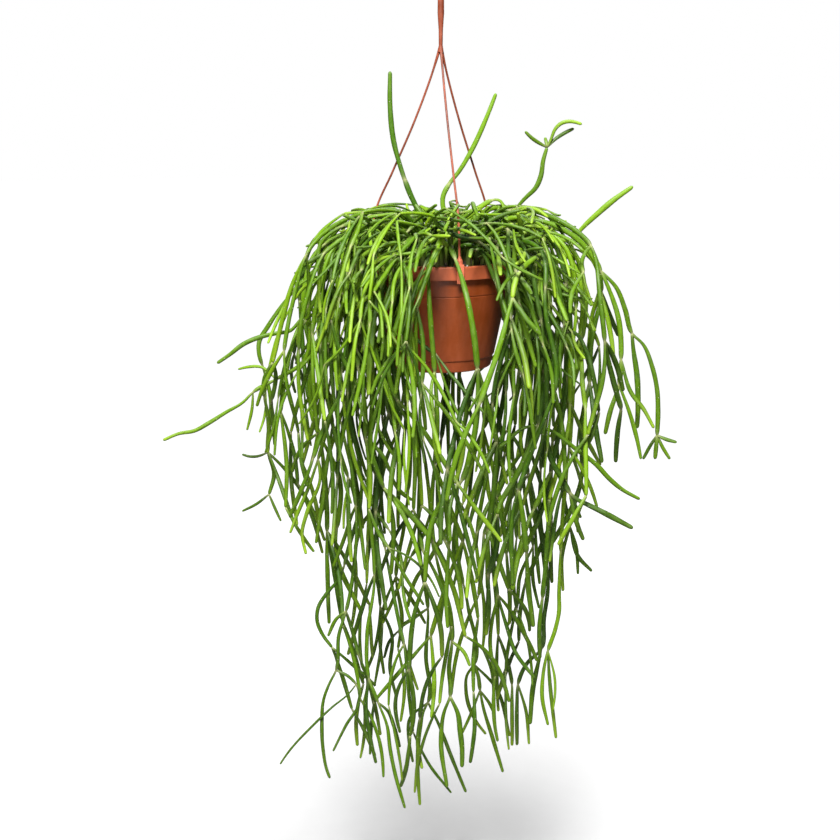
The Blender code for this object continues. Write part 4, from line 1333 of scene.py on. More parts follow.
def rounded(corners: list[Triple], steps: int = 5, most: float = 0.45) -> list[Pair]:
    """Rounds the corners of a profile.

    Args:
        corners: radius, height and the corner's rounding of each point.
        steps: the points on each rounded corner.
        most: the share of a side that a corner may take.

    Returns:
        Radius and height pairs.
    """
    spots = [np.array(corner[:2]) for corner in corners]
    outline = [tuple(spots[0])]
    for before, spot, after, corner in zip(spots, spots[1:], spots[2:], corners[1:]):
        back = before - spot
        ahead = after - spot
        reach = min(corner[2], most * np.linalg.norm(back), most * np.linalg.norm(ahead))
        start = spot + back / np.linalg.norm(back) * reach
        end = spot + ahead / np.linalg.norm(ahead) * reach
        for t in np.linspace(0.0, 1.0, steps):
            outline.append(tuple(start * (1 - t) ** 2 + spot * (2 * t * (1 - t)) + end * t * t))
    return outline + [tuple(spots[-1])]


@dataclass
class Shader:
    """A helper that lays out one node tree from left to right."""

    tree: bpy.types.NodeTree
    column: int = 0

    def node(self, kind: str, **settings: object) -> Node:
        """Adds a node.

        Args:
            kind: its type's name.
            settings: its properties.

        Returns:
            The node.
        """
        made = self.tree.nodes.new(kind)
        made.location = (self.column * 190, 0)
        self.column += 1
        for name, value in settings.items():
            setattr(made, name, value)
        return made

    def fill(self, socket: Socket, value: object) -> None:
        """Links an input to its source, or sets its value.

        Args:
            socket: the input.
            value: an output socket, a number, a vector or a colour.
        """
        if isinstance(value, Socket):
            self.tree.links.new(value, socket)
        elif socket.type == "RGBA":
            socket.default_value = (*value, 1.0)
        else:
            socket.default_value = value

    def feed(self, node: Node, *numbered: tuple[int, object], **named: object) -> Node:
        """Fills the inputs of a node.

        Args:
            node: the node.
            numbered: the number of an input and what it takes, for each.
            named: what each named input takes; a low line in its name stands for a space.

        Returns:
            The node.
        """
        for number, value in numbered:
            self.fill(node.inputs[number], value)
        for name, value in named.items():
            self.fill(node.inputs[name.replace("_", " ")], value)
        return node

    def group(self, tree: bpy.types.NodeTree, **values: object) -> bpy.types.bpy_prop_collection:
        """Places a shared effect with its own values, and gives its outputs."""
        return self.feed(self.node("ShaderNodeGroup", node_tree=tree), **values).outputs

    def value(self, name: str) -> Socket:
        """Reads a number that the mesh holds all over its surface."""
        return self.node("ShaderNodeAttribute", attribute_name=name).outputs["Fac"]

    def place(self) -> Socket:
        """Gives the coordinate of the object itself."""
        return self.node("ShaderNodeTexCoord").outputs["Object"]

    def upright(self, vector: Socket) -> Socket:
        """Gives how far a vector reaches up."""
        return self.feed(self.node("ShaderNodeSeparateXYZ"), Vector=vector).outputs["Z"]

    def math(self, operation: str, first: object, second: object) -> Socket:
        """Works out one number from two."""
        return self.feed(self.node("ShaderNodeMath", operation=operation), (0, first), (1, second)).outputs[0]

    def mix(self, share: object, first: object, second: object, kind: str = "RGBA") -> Socket:
        """Mixes two colours or two numbers.

        Args:
            share: how much of the second there is.
            first: the first.
            second: the second.
            kind: RGBA for colours, FLOAT for numbers.

        Returns:
            The result's socket.
        """
        made = self.node("ShaderNodeMix", data_type=kind)
        start, result = (6, 2) if kind == "RGBA" else (2, 0)
        return self.feed(made, (0, share), (start, first), (start + 1, second)).outputs[result]

    def spread(
        self, value: object, low: float, high: float, start: float = 0.0, end: float = 1.0
    ) -> Socket:
        """Maps a value's range from low to high smoothly to the range from start to end."""
        made = self.node("ShaderNodeMapRange", interpolation_type="SMOOTHSTEP")
        ends = {"From_Min": low, "From_Max": high, "To_Min": start, "To_Max": end}
        return self.feed(made, Value=value, **ends).outputs["Result"]

    def noise(self, where: Socket, scale: object, detail: float = 3.0, rough: float = 0.55) -> Socket:
        """Adds a noise, with how fine it is, how many octaves it has and how strong the finer ones are."""
        made = self.node("ShaderNodeTexNoise")
        return self.feed(made, Vector=where, Scale=scale, Detail=detail, Roughness=rough).outputs["Fac"]

    def stretch(self, where: Socket, scale: Triple, turn: Triple = (0.0, 0.0, 0.0)) -> Socket:
        """Stretches a coordinate by a scale each way, and turns it by three angles."""
        made = self.node("ShaderNodeMapping")
        return self.feed(made, Vector=where, Scale=scale, Rotation=turn).outputs["Vector"]

    def bump(self, height: Socket, distance: float, strength: float, **base: Socket) -> Socket:
        """Adds a relief of a depth in metres and of a strength, on the base Normal if one is given."""
        made = self.node("ShaderNodeBump")
        return self.feed(made, Height=height, Distance=distance, Strength=strength, **base).outputs["Normal"]


class Effects:
    """The node groups that several finishes share, each built once."""

    def __init__(self) -> None:
        """Builds the groups."""
        self.mottle = self.make_mottle()
        # Dust on the plastics; on the stems the same mask paints a sheen.
        self.dust = self.make_dust_and_sheen()

    @staticmethod
    def start(name: str, outputs: tuple[str, ...], **inputs: float) -> tuple:
        """Opens a group with a coordinate called Where, and with numbers for its other sockets.

        Args:
            name: the group's name.
            outputs: its outputs' names.
            inputs: its other inputs' first values.

        Returns:
            The group, its shader helper, its inputs and its output node.
        """
        tree = bpy.data.node_groups.new(name, "ShaderNodeTree")
        tree.interface.new_socket(name="Where", in_out="INPUT", socket_type="NodeSocketVector")
        for label, value in inputs.items():
            socket = tree.interface.new_socket(name=label, in_out="INPUT", socket_type="NodeSocketFloat")
            socket.default_value = value
        for label in outputs:
            tree.interface.new_socket(name=label, in_out="OUTPUT", socket_type="NodeSocketFloat")
        shader = Shader(tree)
        return tree, shader, shader.node("NodeGroupInput").outputs, shader.node("NodeGroupOutput")

    def make_mottle(self) -> bpy.types.NodeTree:
        """Builds broad and fine blotches: a mask for colour and a height for relief.

        Returns:
            The group.
        """
        tree, shader, given, result = self.start(
            "Mottle", ("Mask", "Height"), Broad=20.0, Fine=300.0, Share=0.35
        )
        broad = shader.noise(given["Where"], given["Broad"])
        fine = shader.noise(given["Where"], given["Fine"], 4.0, 0.6)
        blotches = shader.mix(given["Share"], broad, fine, "FLOAT")
        shader.feed(result, Mask=shader.spread(blotches, 0.3, 0.7), Height=fine)
        return tree

    def make_dust_and_sheen(self) -> bpy.types.NodeTree:
        """Builds a patchy mask on what faces up: dust and lime specks on the plastics, and a painted sheen on
        the stems' upper sides.

        Returns:
            The group.
        """
        tree, shader, given, result = self.start("DustAndSheen", ("Mask",), Amount=0.4, Scale=60.0)
        facing = shader.node("ShaderNodeNewGeometry").outputs["Normal"]
        upward = shader.spread(shader.upright(facing), -0.2, 1.0, 0.25)
        patches = shader.spread(shader.noise(given["Where"], given["Scale"], 5.0), 0.42, 0.75)
        layer = shader.math("MULTIPLY", upward, patches)
        shader.feed(result, Mask=shader.math("MULTIPLY", layer, given["Amount"]))
        return tree


def new_material(name: str) -> tuple[Material, Shader, Node]:
    """Starts a material.

    Args:
        name: its name.

    Returns:
        The material, its shader helper and its Principled BSDF.
    """
    made = bpy.data.materials.new(name)
    made.use_nodes = True
    tree = made.node_tree
    return made, Shader(tree, 1), tree.nodes["Principled BSDF"]


@dataclass(frozen=True)
class StemSkin:
    """The waxy skin of the stems: deep to fresh green, lime at young tips, pale and corky at joints."""

    slot: Slot
    deep: Triple
    fresh: Triple
    young: Triple = (0.3, 0.46, 0.02)
    scar: Triple = (0.42, 0.4, 0.2)
    bark: Triple = (0.06, 0.055, 0.018)
    wool: Triple = (0.62, 0.58, 0.42)
    # Pale bloom: in random patches it is the skin's own bloom; on the upper sides it is a painted sheen for
    # the highlight from above.
    bloom_and_sheen: Triple = (0.46, 0.6, 0.3)
    roughness: float = 0.46

    def material(self, effects: Effects) -> Material:
        """Builds the material.

        Args:
            effects: the shared node groups.

        Returns:
            The material.
        """
        made, shader, skin = new_material(self.slot.value)
        where = shader.node("ShaderNodeAttribute", attribute_name="skin").outputs["Vector"]
        mottle = shader.group(effects.mottle, Where=where, Broad=1.4, Fine=9.0, Share=0.4)
        patches = shader.math("MULTIPLY", mottle["Mask"], 0.45)
        share = shader.math("ADD", shader.math("MULTIPLY", shader.value("tint"), 0.75), patches)
        # Painted sheen: the stems' upper sides are painted paler, standing in for the soft highlight from the
        # light above.
        painted_sheen = shader.group(effects.dust, Where=where, Amount=0.2, Scale=0.8)
        layers = (
            (shader.value("young"), self.young),
            (shader.spread(mottle["Height"], 0.52, 0.74, 0.0, 0.1), self.bloom_and_sheen),
            (painted_sheen["Mask"], self.bloom_and_sheen),
            (shader.math("MULTIPLY", shader.value("joint"), 0.6), self.scar),
            (shader.value("bark"), self.bark),
            (shader.value("wool"), self.wool),
        )
        colour = shader.mix(shader.spread(share, 0.1, 1.1), self.deep, self.fresh)
        for mask, tone in layers:
            colour = shader.mix(mask, colour, tone)
        fibres = shader.noise(shader.stretch(where, (0.35, 3.2, 3.2)), 2.6)
        shader.feed(
            skin,
            Base_Color=colour,
            Roughness=shader.spread(mottle["Mask"], 0.0, 1.0, self.roughness - 0.06, self.roughness + 0.1),
            Normal=shader.bump(mottle["Height"], 0.0002, 0.3, Normal=shader.bump(fibres, 0.0004, 0.35)),
            IOR=1.4,
            Specular_IOR_Level=0.3,
            Coat_Weight=0.05,
            Coat_Roughness=0.3,
        )
        return made


@dataclass(frozen=True)
class MouldedPlastic:
    """Terracotta-coloured plastic: flow marks, scratches and dust, with a paler tone painted on as light
    where the mesh marks it and above a given height.
    """

    slot: Slot
    colour: Triple
    faded_and_lit: Triple
    dust: float
    roughness: float = 0.45
    painted_light_above: float | None = None
    dusty: Triple = (0.62, 0.48, 0.38)

    def material(self, effects: Effects) -> Material:
        """Builds the material.

        Args:
            effects: the shared node groups.

        Returns:
            The material.
        """
        made, shader, plastic = new_material(self.slot.value)
        where = shader.place()
        mottle = shader.group(effects.mottle, Where=where, Broad=22.0, Fine=420.0, Share=0.25)
        streaks = shader.noise(shader.stretch(where, (1.0, 1.0, 0.08)), 160.0, 4.0)
        share = shader.math("ADD", shader.math("MULTIPLY", mottle["Mask"], 0.5), streaks)
        colour = shader.mix(shader.spread(share, 0.35, 1.05, 0.0, 0.3), self.colour, self.faded_and_lit)
        # Painted light: above this height the band over the rim is painted paler, as the rim catches the
        # light while the body below lies in the plant's shade.
        if self.painted_light_above is not None:
            level, soft = (self.painted_light_above - HANGER.hang_height) * MM, 0.6 * MM
            pale = shader.spread(shader.upright(where), level - soft, level + soft, 0.0, 0.8)
            colour = shader.mix(pale, colour, self.faded_and_lit)
        # Painted light: where the mesh marks it, the tone is painted paler.
        colour = shader.mix(shader.value("worn"), colour, self.faded_and_lit)
        dust = shader.group(effects.dust, Where=where, Amount=self.dust, Scale=70.0)
        scratches = shader.noise(shader.stretch(where, (1.0, 1.0, 0.2), (0.4, 0.2, 0.0)), 900.0, 2.0)
        shader.feed(
            plastic,
            Base_Color=shader.mix(dust["Mask"], colour, self.dusty),
            Roughness=shader.spread(mottle["Mask"], 0.0, 1.0, self.roughness - 0.08, self.roughness + 0.12),
            Normal=shader.bump(mottle["Height"], 0.0002, 0.1, Normal=shader.bump(scratches, 0.0002, 0.12)),
            IOR=1.42,
        )
        return made


@dataclass(frozen=True)
class Earth:
    """Damp potting soil: dark crumbs, brown fibres and pale grains of perlite."""

    dark: Triple = (0.014, 0.009, 0.006)
    brown: Triple = (0.07, 0.042, 0.024)
    grain: Triple = (0.62, 0.6, 0.55)
    roughness: float = 0.92

    def material(self, effects: Effects) -> Material:
        """Builds the material.

        Args:
            effects: the shared node groups.

        Returns:
            The material.
        """
        made, shader, soil = new_material(Slot.SOIL.value)
        mottle = shader.group(effects.mottle, Where=shader.place(), Broad=90.0, Fine=900.0, Share=0.55)
        colour = shader.mix(mottle["Mask"], self.dark, self.brown)
        shader.feed(
            soil,
            Base_Color=shader.mix(shader.value("grain"), colour, self.grain),
            Roughness=shader.spread(mottle["Mask"], 0.0, 1.0, self.roughness - 0.12, self.roughness),
            Normal=shader.bump(mottle["Height"], 0.0012, 0.8),
        )
        return made


@dataclass
class Pot:
    """The turned pot with its soft edges, groove, stepped foot and drain holes."""

    rim_radius: float = 75.0
    rim_height: float = 13.0
    rim_inner_radius: float = 69.4
    skirt: float = 2.2
    wall: float = 2.2
    wall_top_radius: float = 69.6
    wall_top: float = -3.0
    seam_drop: float = 30.0
    seam_radius: float = 68.4
    seam_depth: float = 0.8
    foot_height: float = 12.0
    foot_top_radius: float = 55.2
    foot_step: float = 1.1
    base_radius: float = 52.0
    height: float = 107.0
    drain_radius: float = 4.0
    drain_circle: float = 33.0
    drains: int = 6
    drain_sides: int = 24
    solid_sides: int = 24
    sides: int = 144
    edge: float = 0.9
    sharp: float = math.radians(38.0)
    # The paler band over the rim is painted light.
    plastic: MouldedPlastic = MouldedPlastic(
        Slot.POT, (0.24, 0.044, 0.005), (0.5, 0.115, 0.045), 0.07, painted_light_above=-13.8
    )

    def floor(self) -> float:
        """Finds the height of the inner floor."""
        return -self.height + self.wall + 1.0

    def inner_radius(self, height: float) -> float:
        """Finds the radius of the inner wall.

        Args:
            height: the height.

        Returns:
            The radius.
        """
        floor = self.floor()
        share = (height - floor) / (self.wall_top - floor)
        bottom = self.base_radius - self.wall - 0.5
        return bottom * (1.0 - share) + (self.wall_top_radius - self.wall) * share

    def profile(self) -> list[Pair]:
        """Draws the turned profile, from the middle of the inner floor round to that of the underside.

        Returns:
            Radius and height pairs.
        """
        low = -self.height
        foot = low + self.foot_height
        under = -self.rim_height
        corners = [
            (0.0, self.floor(), 0.0),
            (self.inner_radius(self.floor()), self.floor(), 2.0),
            (self.inner_radius(self.wall_top), self.wall_top, 1.0),
            (self.rim_inner_radius, -0.8, 0.8),
            (self.rim_inner_radius + 0.7, 0.0, 0.5),
            (self.rim_radius - 0.8, 0.0, self.edge),
            (self.rim_radius, -1.0, self.edge),
            (self.rim_radius - 0.1, -2.6, 0.3),
            (self.rim_radius - 0.6, under + 1.2, 0.5),
            (self.rim_radius - 0.7, under, 0.6),
            (self.rim_radius - 0.7 - self.skirt, under, 0.5),
            (self.rim_radius - self.skirt, -3.4, 0.6),
            (self.wall_top_radius, -3.4, 0.4),
            (self.seam_radius, -self.seam_drop + 0.7, 0.3),
            (self.seam_radius - self.seam_depth, -self.seam_drop, 0.3),
            (self.seam_radius - 0.5, -self.seam_drop - 0.9, 0.3),
            (self.foot_top_radius, foot, 0.4),
            (self.foot_top_radius - self.foot_step, foot - 0.8, 0.4),
            (self.base_radius, low + 0.8, self.edge),
            (self.base_radius - 0.8, low, 0.6),
            (self.base_radius - 4.0, low, 0.6),
            (self.base_radius - 5.0, low + 1.2, 0.6),
            (0.0, low + 1.2, 0.0),
        ]
        return rounded(corners)

    def drain(self, angle: float) -> Piece:
        """Makes the cutter of one drain hole.

        Args:
            angle: where it lies round the axis.

        Returns:
            The cutter.
        """
        spot = around(self.drain_circle, angle)
        ends = np.array((spot + (0, 0, -self.height - 3.0), spot + (0, 0, self.floor() + 3.0)))
        points = tube_points(ends, np.full(2, self.drain_radius), self.drain_sides)
        return add_body("drain", points, tube_faces(2, self.drain_sides))

    def build(self, effects: Effects) -> Piece:
        """Builds the pot and cuts its drain holes.

        Args:
            effects: the shared node groups.

        Returns:
            The pot.
        """
        pot = add_body("hanging_pot", *turned(self.profile(), self.sides))
        for number in range(self.drains):
            cutter = self.drain(math.tau * (number + 0.5) / self.drains)
            cut = pot.modifiers.new("drain", "BOOLEAN")
            cut.operation = "DIFFERENCE"
            cut.object = cutter
            ready = pot.evaluated_get(bpy.context.evaluated_depsgraph_get())
            pot.data = bpy.data.meshes.new_from_object(ready)
            pot.modifiers.clear()
            bpy.data.objects.remove(cutter, do_unlink=True)
        pot.data.shade_smooth()
        pot.data.set_sharp_from_angle(angle=self.sharp)
        return dressed(pot, self.plastic.material(effects), "pot")


POT = Pot()


@dataclass
class Soil:
    """The soil: a crumbly top that fills the pot, with loose crumbs and grains of perlite."""

    top: float = -10.0
    crown: float = 3.0
    lumps: float = 1.2
    root_depth: float = 20.0
    reach: float = 64.0
    rings: int = 46
    sides: int = 128
    grit: float = 0.9
    crumbs: int = 620
    crumb_sizes: Pair = (0.7, 2.6)
    grains: int = 110
    grain_sizes: Pair = (0.7, 1.6)
    seed: int = 5
    earth: Earth = Earth()

    def rise(self, reach: float, angle: float) -> float:
        """Finds how high the top lies above the soil's edge.

        Args:
            reach: the distance from the axis.
            angle: the angle round it.

        Returns:
            The height.
        """
        share = min(1.0, reach / self.reach)
        lump = math.sin(3.1 * angle + reach * 0.2) * math.cos(2.0 * angle - reach * 0.11)
        fade = min(1.0, (self.reach + 3.0 - reach) / 8.0)
        return self.crown * (1.0 - share * share) + self.lumps * lump * fade

    def crumb(self, chance: random.Random, sizes: Pair) -> tuple[Array, Faces]:
        """Makes one uneven crumb that lies on the top.

        Args:
            chance: the source of random draws.
            sizes: the smallest and the largest radius.

        Returns:
            Its vertices and faces.
        """
        radius = chance.uniform(*sizes)
        reach = self.reach * math.sqrt(chance.random())
        angle = chance.uniform(0.0, math.tau)
        work = bmesh.new()
        bmesh.ops.create_icosphere(work, subdivisions=1, radius=radius)
        points, faces = read_body(work)
        points = points * np.array([chance.uniform(0.7, 1.25) for _ in range(3)])
        points = points * np.array([[chance.uniform(0.82, 1.15)] for _ in range(len(points))])
        level = self.top + self.rise(reach, angle) + radius * 0.35
        return points + around(reach, angle, level), faces

    def build(self, effects: Effects) -> Piece:
        """Builds the soil.

        Args:
            effects: the shared node groups.

        Returns:
            The soil.
        """
        chance = random.Random(self.seed)
        shoulder = self.top - 1.5
        edge = POT.inner_radius(shoulder) - GAP
        floor = POT.floor() + GAP
        profile = [(0.0, self.top + self.crown)]
        profile += [(edge * (ring / self.rings) ** 0.8, self.top) for ring in range(1, self.rings)]
        profile += [(edge, shoulder), (POT.inner_radius(floor) - GAP, floor), (0.0, floor)]
        points, faces = turned(profile[::-1], self.sides)
        for point in points:
            reach = math.hypot(point[0], point[1])
            if point[2] > shoulder + 0.5 and reach > 0.1:
                grit = chance.uniform(-self.grit, self.grit)
                point[2] += self.rise(reach, math.atan2(point[1], point[0])) + grit
        draft = Draft()
        draft.add(points, faces, grain=np.zeros(len(points)))
        for number in range(self.crumbs + self.grains):
            pale = number >= self.crumbs
            body, sides = self.crumb(chance, self.grain_sizes if pale else self.crumb_sizes)
            draft.add(body, sides, grain=np.full(len(body), float(pale)))
        return draft.piece("soil_top", self.earth.material(effects), Slot.SOIL, "soil")


SOIL = Soil()
ROOT_HEIGHTS = (SOIL.top - SOIL.root_depth + 1.0, SOIL.top + 1.0, SOIL.top + SOIL.crown + 6.5)


@dataclass
class Hanger:
    """The moulded hanger: an open hook, a shank and three strands, each with a clip over the rim."""

    split_height: float = 199.0
    shank: float = 72.0
    shank_radius: float = 2.6
    shank_heights: tuple = (0.0, 6.0, 20.0, shank * 0.5, shank)
    hook_radius: float = 15.0
    hook_wire: float = 2.8
    hook_turn: float = math.radians(235.0)
    hook_tip: float = 3.4
    shank_radii: tuple = (2.9, 1.9, 2.1, 3.2, hook_wire)
    strand_ways: tuple = tuple(math.radians(way) for way in (-76.0, 44.0, 164.0))
    strand_radius: float = 1.3
    strand_bow: float = 9.5
    strand_heights: tuple = (0.0, 10.0, 22.0)
    strand_radii: tuple = (1.8, 1.4, strand_radius * 0.82)
    clip_width: float = 7.0
    clip_thick: float = 1.9
    clip_inner_leg: float = 8.0
    clip_outer_leg: float = 16.0
    clip_edge: float = 0.5
    barrel_radius: float = 3.2
    barrel_height: float = 9.0
    barrel_shape: tuple = ((0.0, 0.5, 0.62, 0.8, 1.0), (1.0, 1.0, 0.9, 0.6, 0.42))
    hang_height: float = split_height + shank + 2.0 * (hook_radius - hook_wire)
    sides: int = 20
    strand_sides: int = 14
    strand_steps: int = 40
    sharp: float = math.radians(50.0)
    # The dark colour on the shank and strands is painted shade on thin parts; the clips, barrels and the
    # strands' lower ends take the paler tone as painted light.
    plastic: MouldedPlastic = MouldedPlastic(
        Slot.HANGER, (0.12, 0.02, 0.004), (0.68, 0.165, 0.08), 0.08, roughness=0.55
    )

    def strand_line(self, way: float) -> list[Array]:
        """Draws one strand's centre line, from the split down to its clip.

        Args:
            way: the direction that it hangs in.

        Returns:
            Its points, as the solid has them.
        """
        line = [np.array((0.0, 0.0, self.split_height + 6.0))]
        for share in (0.12, 0.35, 0.6, 0.8, 1.0):
            height = self.split_height + 3.0 + (2.0 - self.split_height) * share
            out = (POT.rim_radius - 2.6) * share + self.strand_bow * math.sin(math.pi * share**3)
            line.append(around(out, way, height))
        return line

    def hook_line(self, steps: int) -> list[Array]:
        """Draws the centre line of the shank and of the open hook on top of it.

        Args:
            steps: the steps round the hook.

        Returns:
            Its points.
        """
        top = self.split_height + self.shank
        line = [np.array((0.0, 0.0, self.split_height + self.shank * share)) for share in (0.0, 0.5)]
        centre = np.array((0.0, 0.0, top + self.hook_radius - self.hook_wire))
        for step in range(steps + 1):
            angle = -math.pi / 2 + self.hook_turn * step / steps
            line.append(centre + self.hook_radius * np.array((math.cos(angle), 0.0, math.sin(angle))))
        return line

    def crowd(self) -> Crowd:
        """Gathers what the stems stay clear of: strands, clips and shank.

        Returns:
            The crowd.
        """
        crowd = Crowd()
        for way in self.strand_ways:
            line = np.array(self.strand_line(way))
            crowd.add(line, np.full(len(line), self.strand_radius + 0.8))
            foot = around(POT.rim_radius - 2.5, way)
            low = foot * 1.02 + (0, 0, -self.clip_outer_leg + 3.0)
            crowd.add(np.array((foot + (0, 0, 10.0), foot + (0, 0, 2.0), low)), np.full(3, 6.5))
        line = np.array(self.hook_line(11)[:4])
        crowd.add(line, np.full(len(line), self.shank_radius + 1.0))
        return crowd

    def add_hook(self, draft: Draft) -> None:
        """Adds the shank and the hook, with a rounded end and a swelling where the strands leave.

        Args:
            draft: the hanger's draft.
        """
        spots = self.hook_line(22)
        rise = (spots[2] - spots[1]) / 4.0
        spots[2:2] = [spots[1] + rise * step for step in (1, 2, 3, 3.6)]
        line, _ = smooth(spots, 1.4)
        along = lengths(line)
        left = along[-1] - along
        tip = np.sqrt(np.clip(1.0 - np.clip(1.0 - left / self.hook_tip, 0.0, 1.0) ** 2, 0.04, 1.0))
        radii = np.interp(along, self.shank_heights, self.shank_radii) * tip
        radii = radii * np.interp(left, (0.0, 12.0), (0.85, 1.0))
        points = tube_points(line, radii, self.sides)
        # The shank and hook keep the dark colour, as painted shade.
        draft.add(points, tube_faces(len(line), self.sides), worn=np.zeros(len(points)))

    def add_strand(self, draft: Draft, way: float) -> None:
        """Adds one strand, a little oval, with its barrel.

        Args:
            draft: the hanger's draft.
            way: the direction that it hangs in.
        """
        line, _ = smooth(self.strand_line(way), 198.0 / self.strand_steps)
        along = lengths(line)
        radii = np.interp(along, self.strand_heights, self.strand_radii)
        # Painted light: the strand is painted paler over its last 60 mm towards the clip, and its barrel
        # fully so.
        worn = np.repeat(np.clip(1.0 - (along[-1] - along) / 60.0, 0.0, 1.0), self.strand_sides)
        points = tube_points(line, radii, self.strand_sides, 0.92)
        draft.add(points, tube_faces(len(line), self.strand_sides), worn=worn)
        steps = np.linspace(0.0, 1.0, 15)
        foot = np.array((line[-1][0], line[-1][1], GAP + 0.4))
        centres = foot + np.outer(steps * self.barrel_height, (0.0, 0.0, 1.0))
        points = tube_points(centres, self.barrel_radius * np.interp(steps, *self.barrel_shape), self.sides)
        draft.add(points, tube_faces(len(centres), self.sides), worn=np.ones(len(points)))

    def add_clip(self, draft: Draft, way: float) -> None:
        """Adds the saddle over the rim, with a short leg inside and a long one outside, its edges rounded.

        Args:
            draft: the hanger's draft.
            way: the direction of its strand.
        """
        inner = POT.inner_radius(-self.clip_inner_leg) * math.cos(math.pi / POT.solid_sides) - GAP
        outer = POT.rim_radius + GAP
        thick = self.clip_thick
        high = GAP + thick
        outline = [
            (inner - thick, high),
            (inner - thick, -self.clip_inner_leg),
            (inner, -self.clip_inner_leg),
            (inner, GAP),
            (outer, GAP),
            (outer, -self.clip_outer_leg),
            (outer + thick, -self.clip_outer_leg),
            (outer + thick, high),
        ]
        out = around(1.0, way)
        aside = around(self.clip_width, way + math.pi / 2)
        work = bmesh.new()
        left, right = (
            [work.verts.new(out * radius + aside * half + (0.0, 0.0, height)) for radius, height in outline]
            for half in (-0.5, 0.5)
        )
        for number in range(len(outline)):
            after = (number + 1) % len(outline)
            work.faces.new((left[number], left[after], right[after], right[number]))
        work.faces.new(left[::-1])
        work.faces.new(right)
        bmesh.ops.recalc_face_normals(work, faces=work.faces)
        bmesh.ops.bevel(
            work, geom=work.edges[:], offset=self.clip_edge, segments=3, profile=0.5, affect="EDGES"
        )
        bmesh.ops.triangulate(work, faces=work.faces)
        points, faces = read_body(work)
        # The clip is painted fully pale, as painted light.
        draft.add(points, faces, worn=np.ones(len(points)))

    def build(self, effects: Effects) -> Piece:
        """Builds the hanger.

        Args:
            effects: the shared node groups.

        Returns:
            The hanger.
        """
        draft = Draft()
        self.add_hook(draft)
        for way in self.strand_ways:
            self.add_strand(draft, way)
            self.add_clip(draft, way)
        made = draft.piece("moulded_hanger", self.plastic.material(effects), Slot.HANGER, "hanger")
        made.data.set_sharp_from_angle(angle=self.sharp)
        return made


HANGER = Hanger()


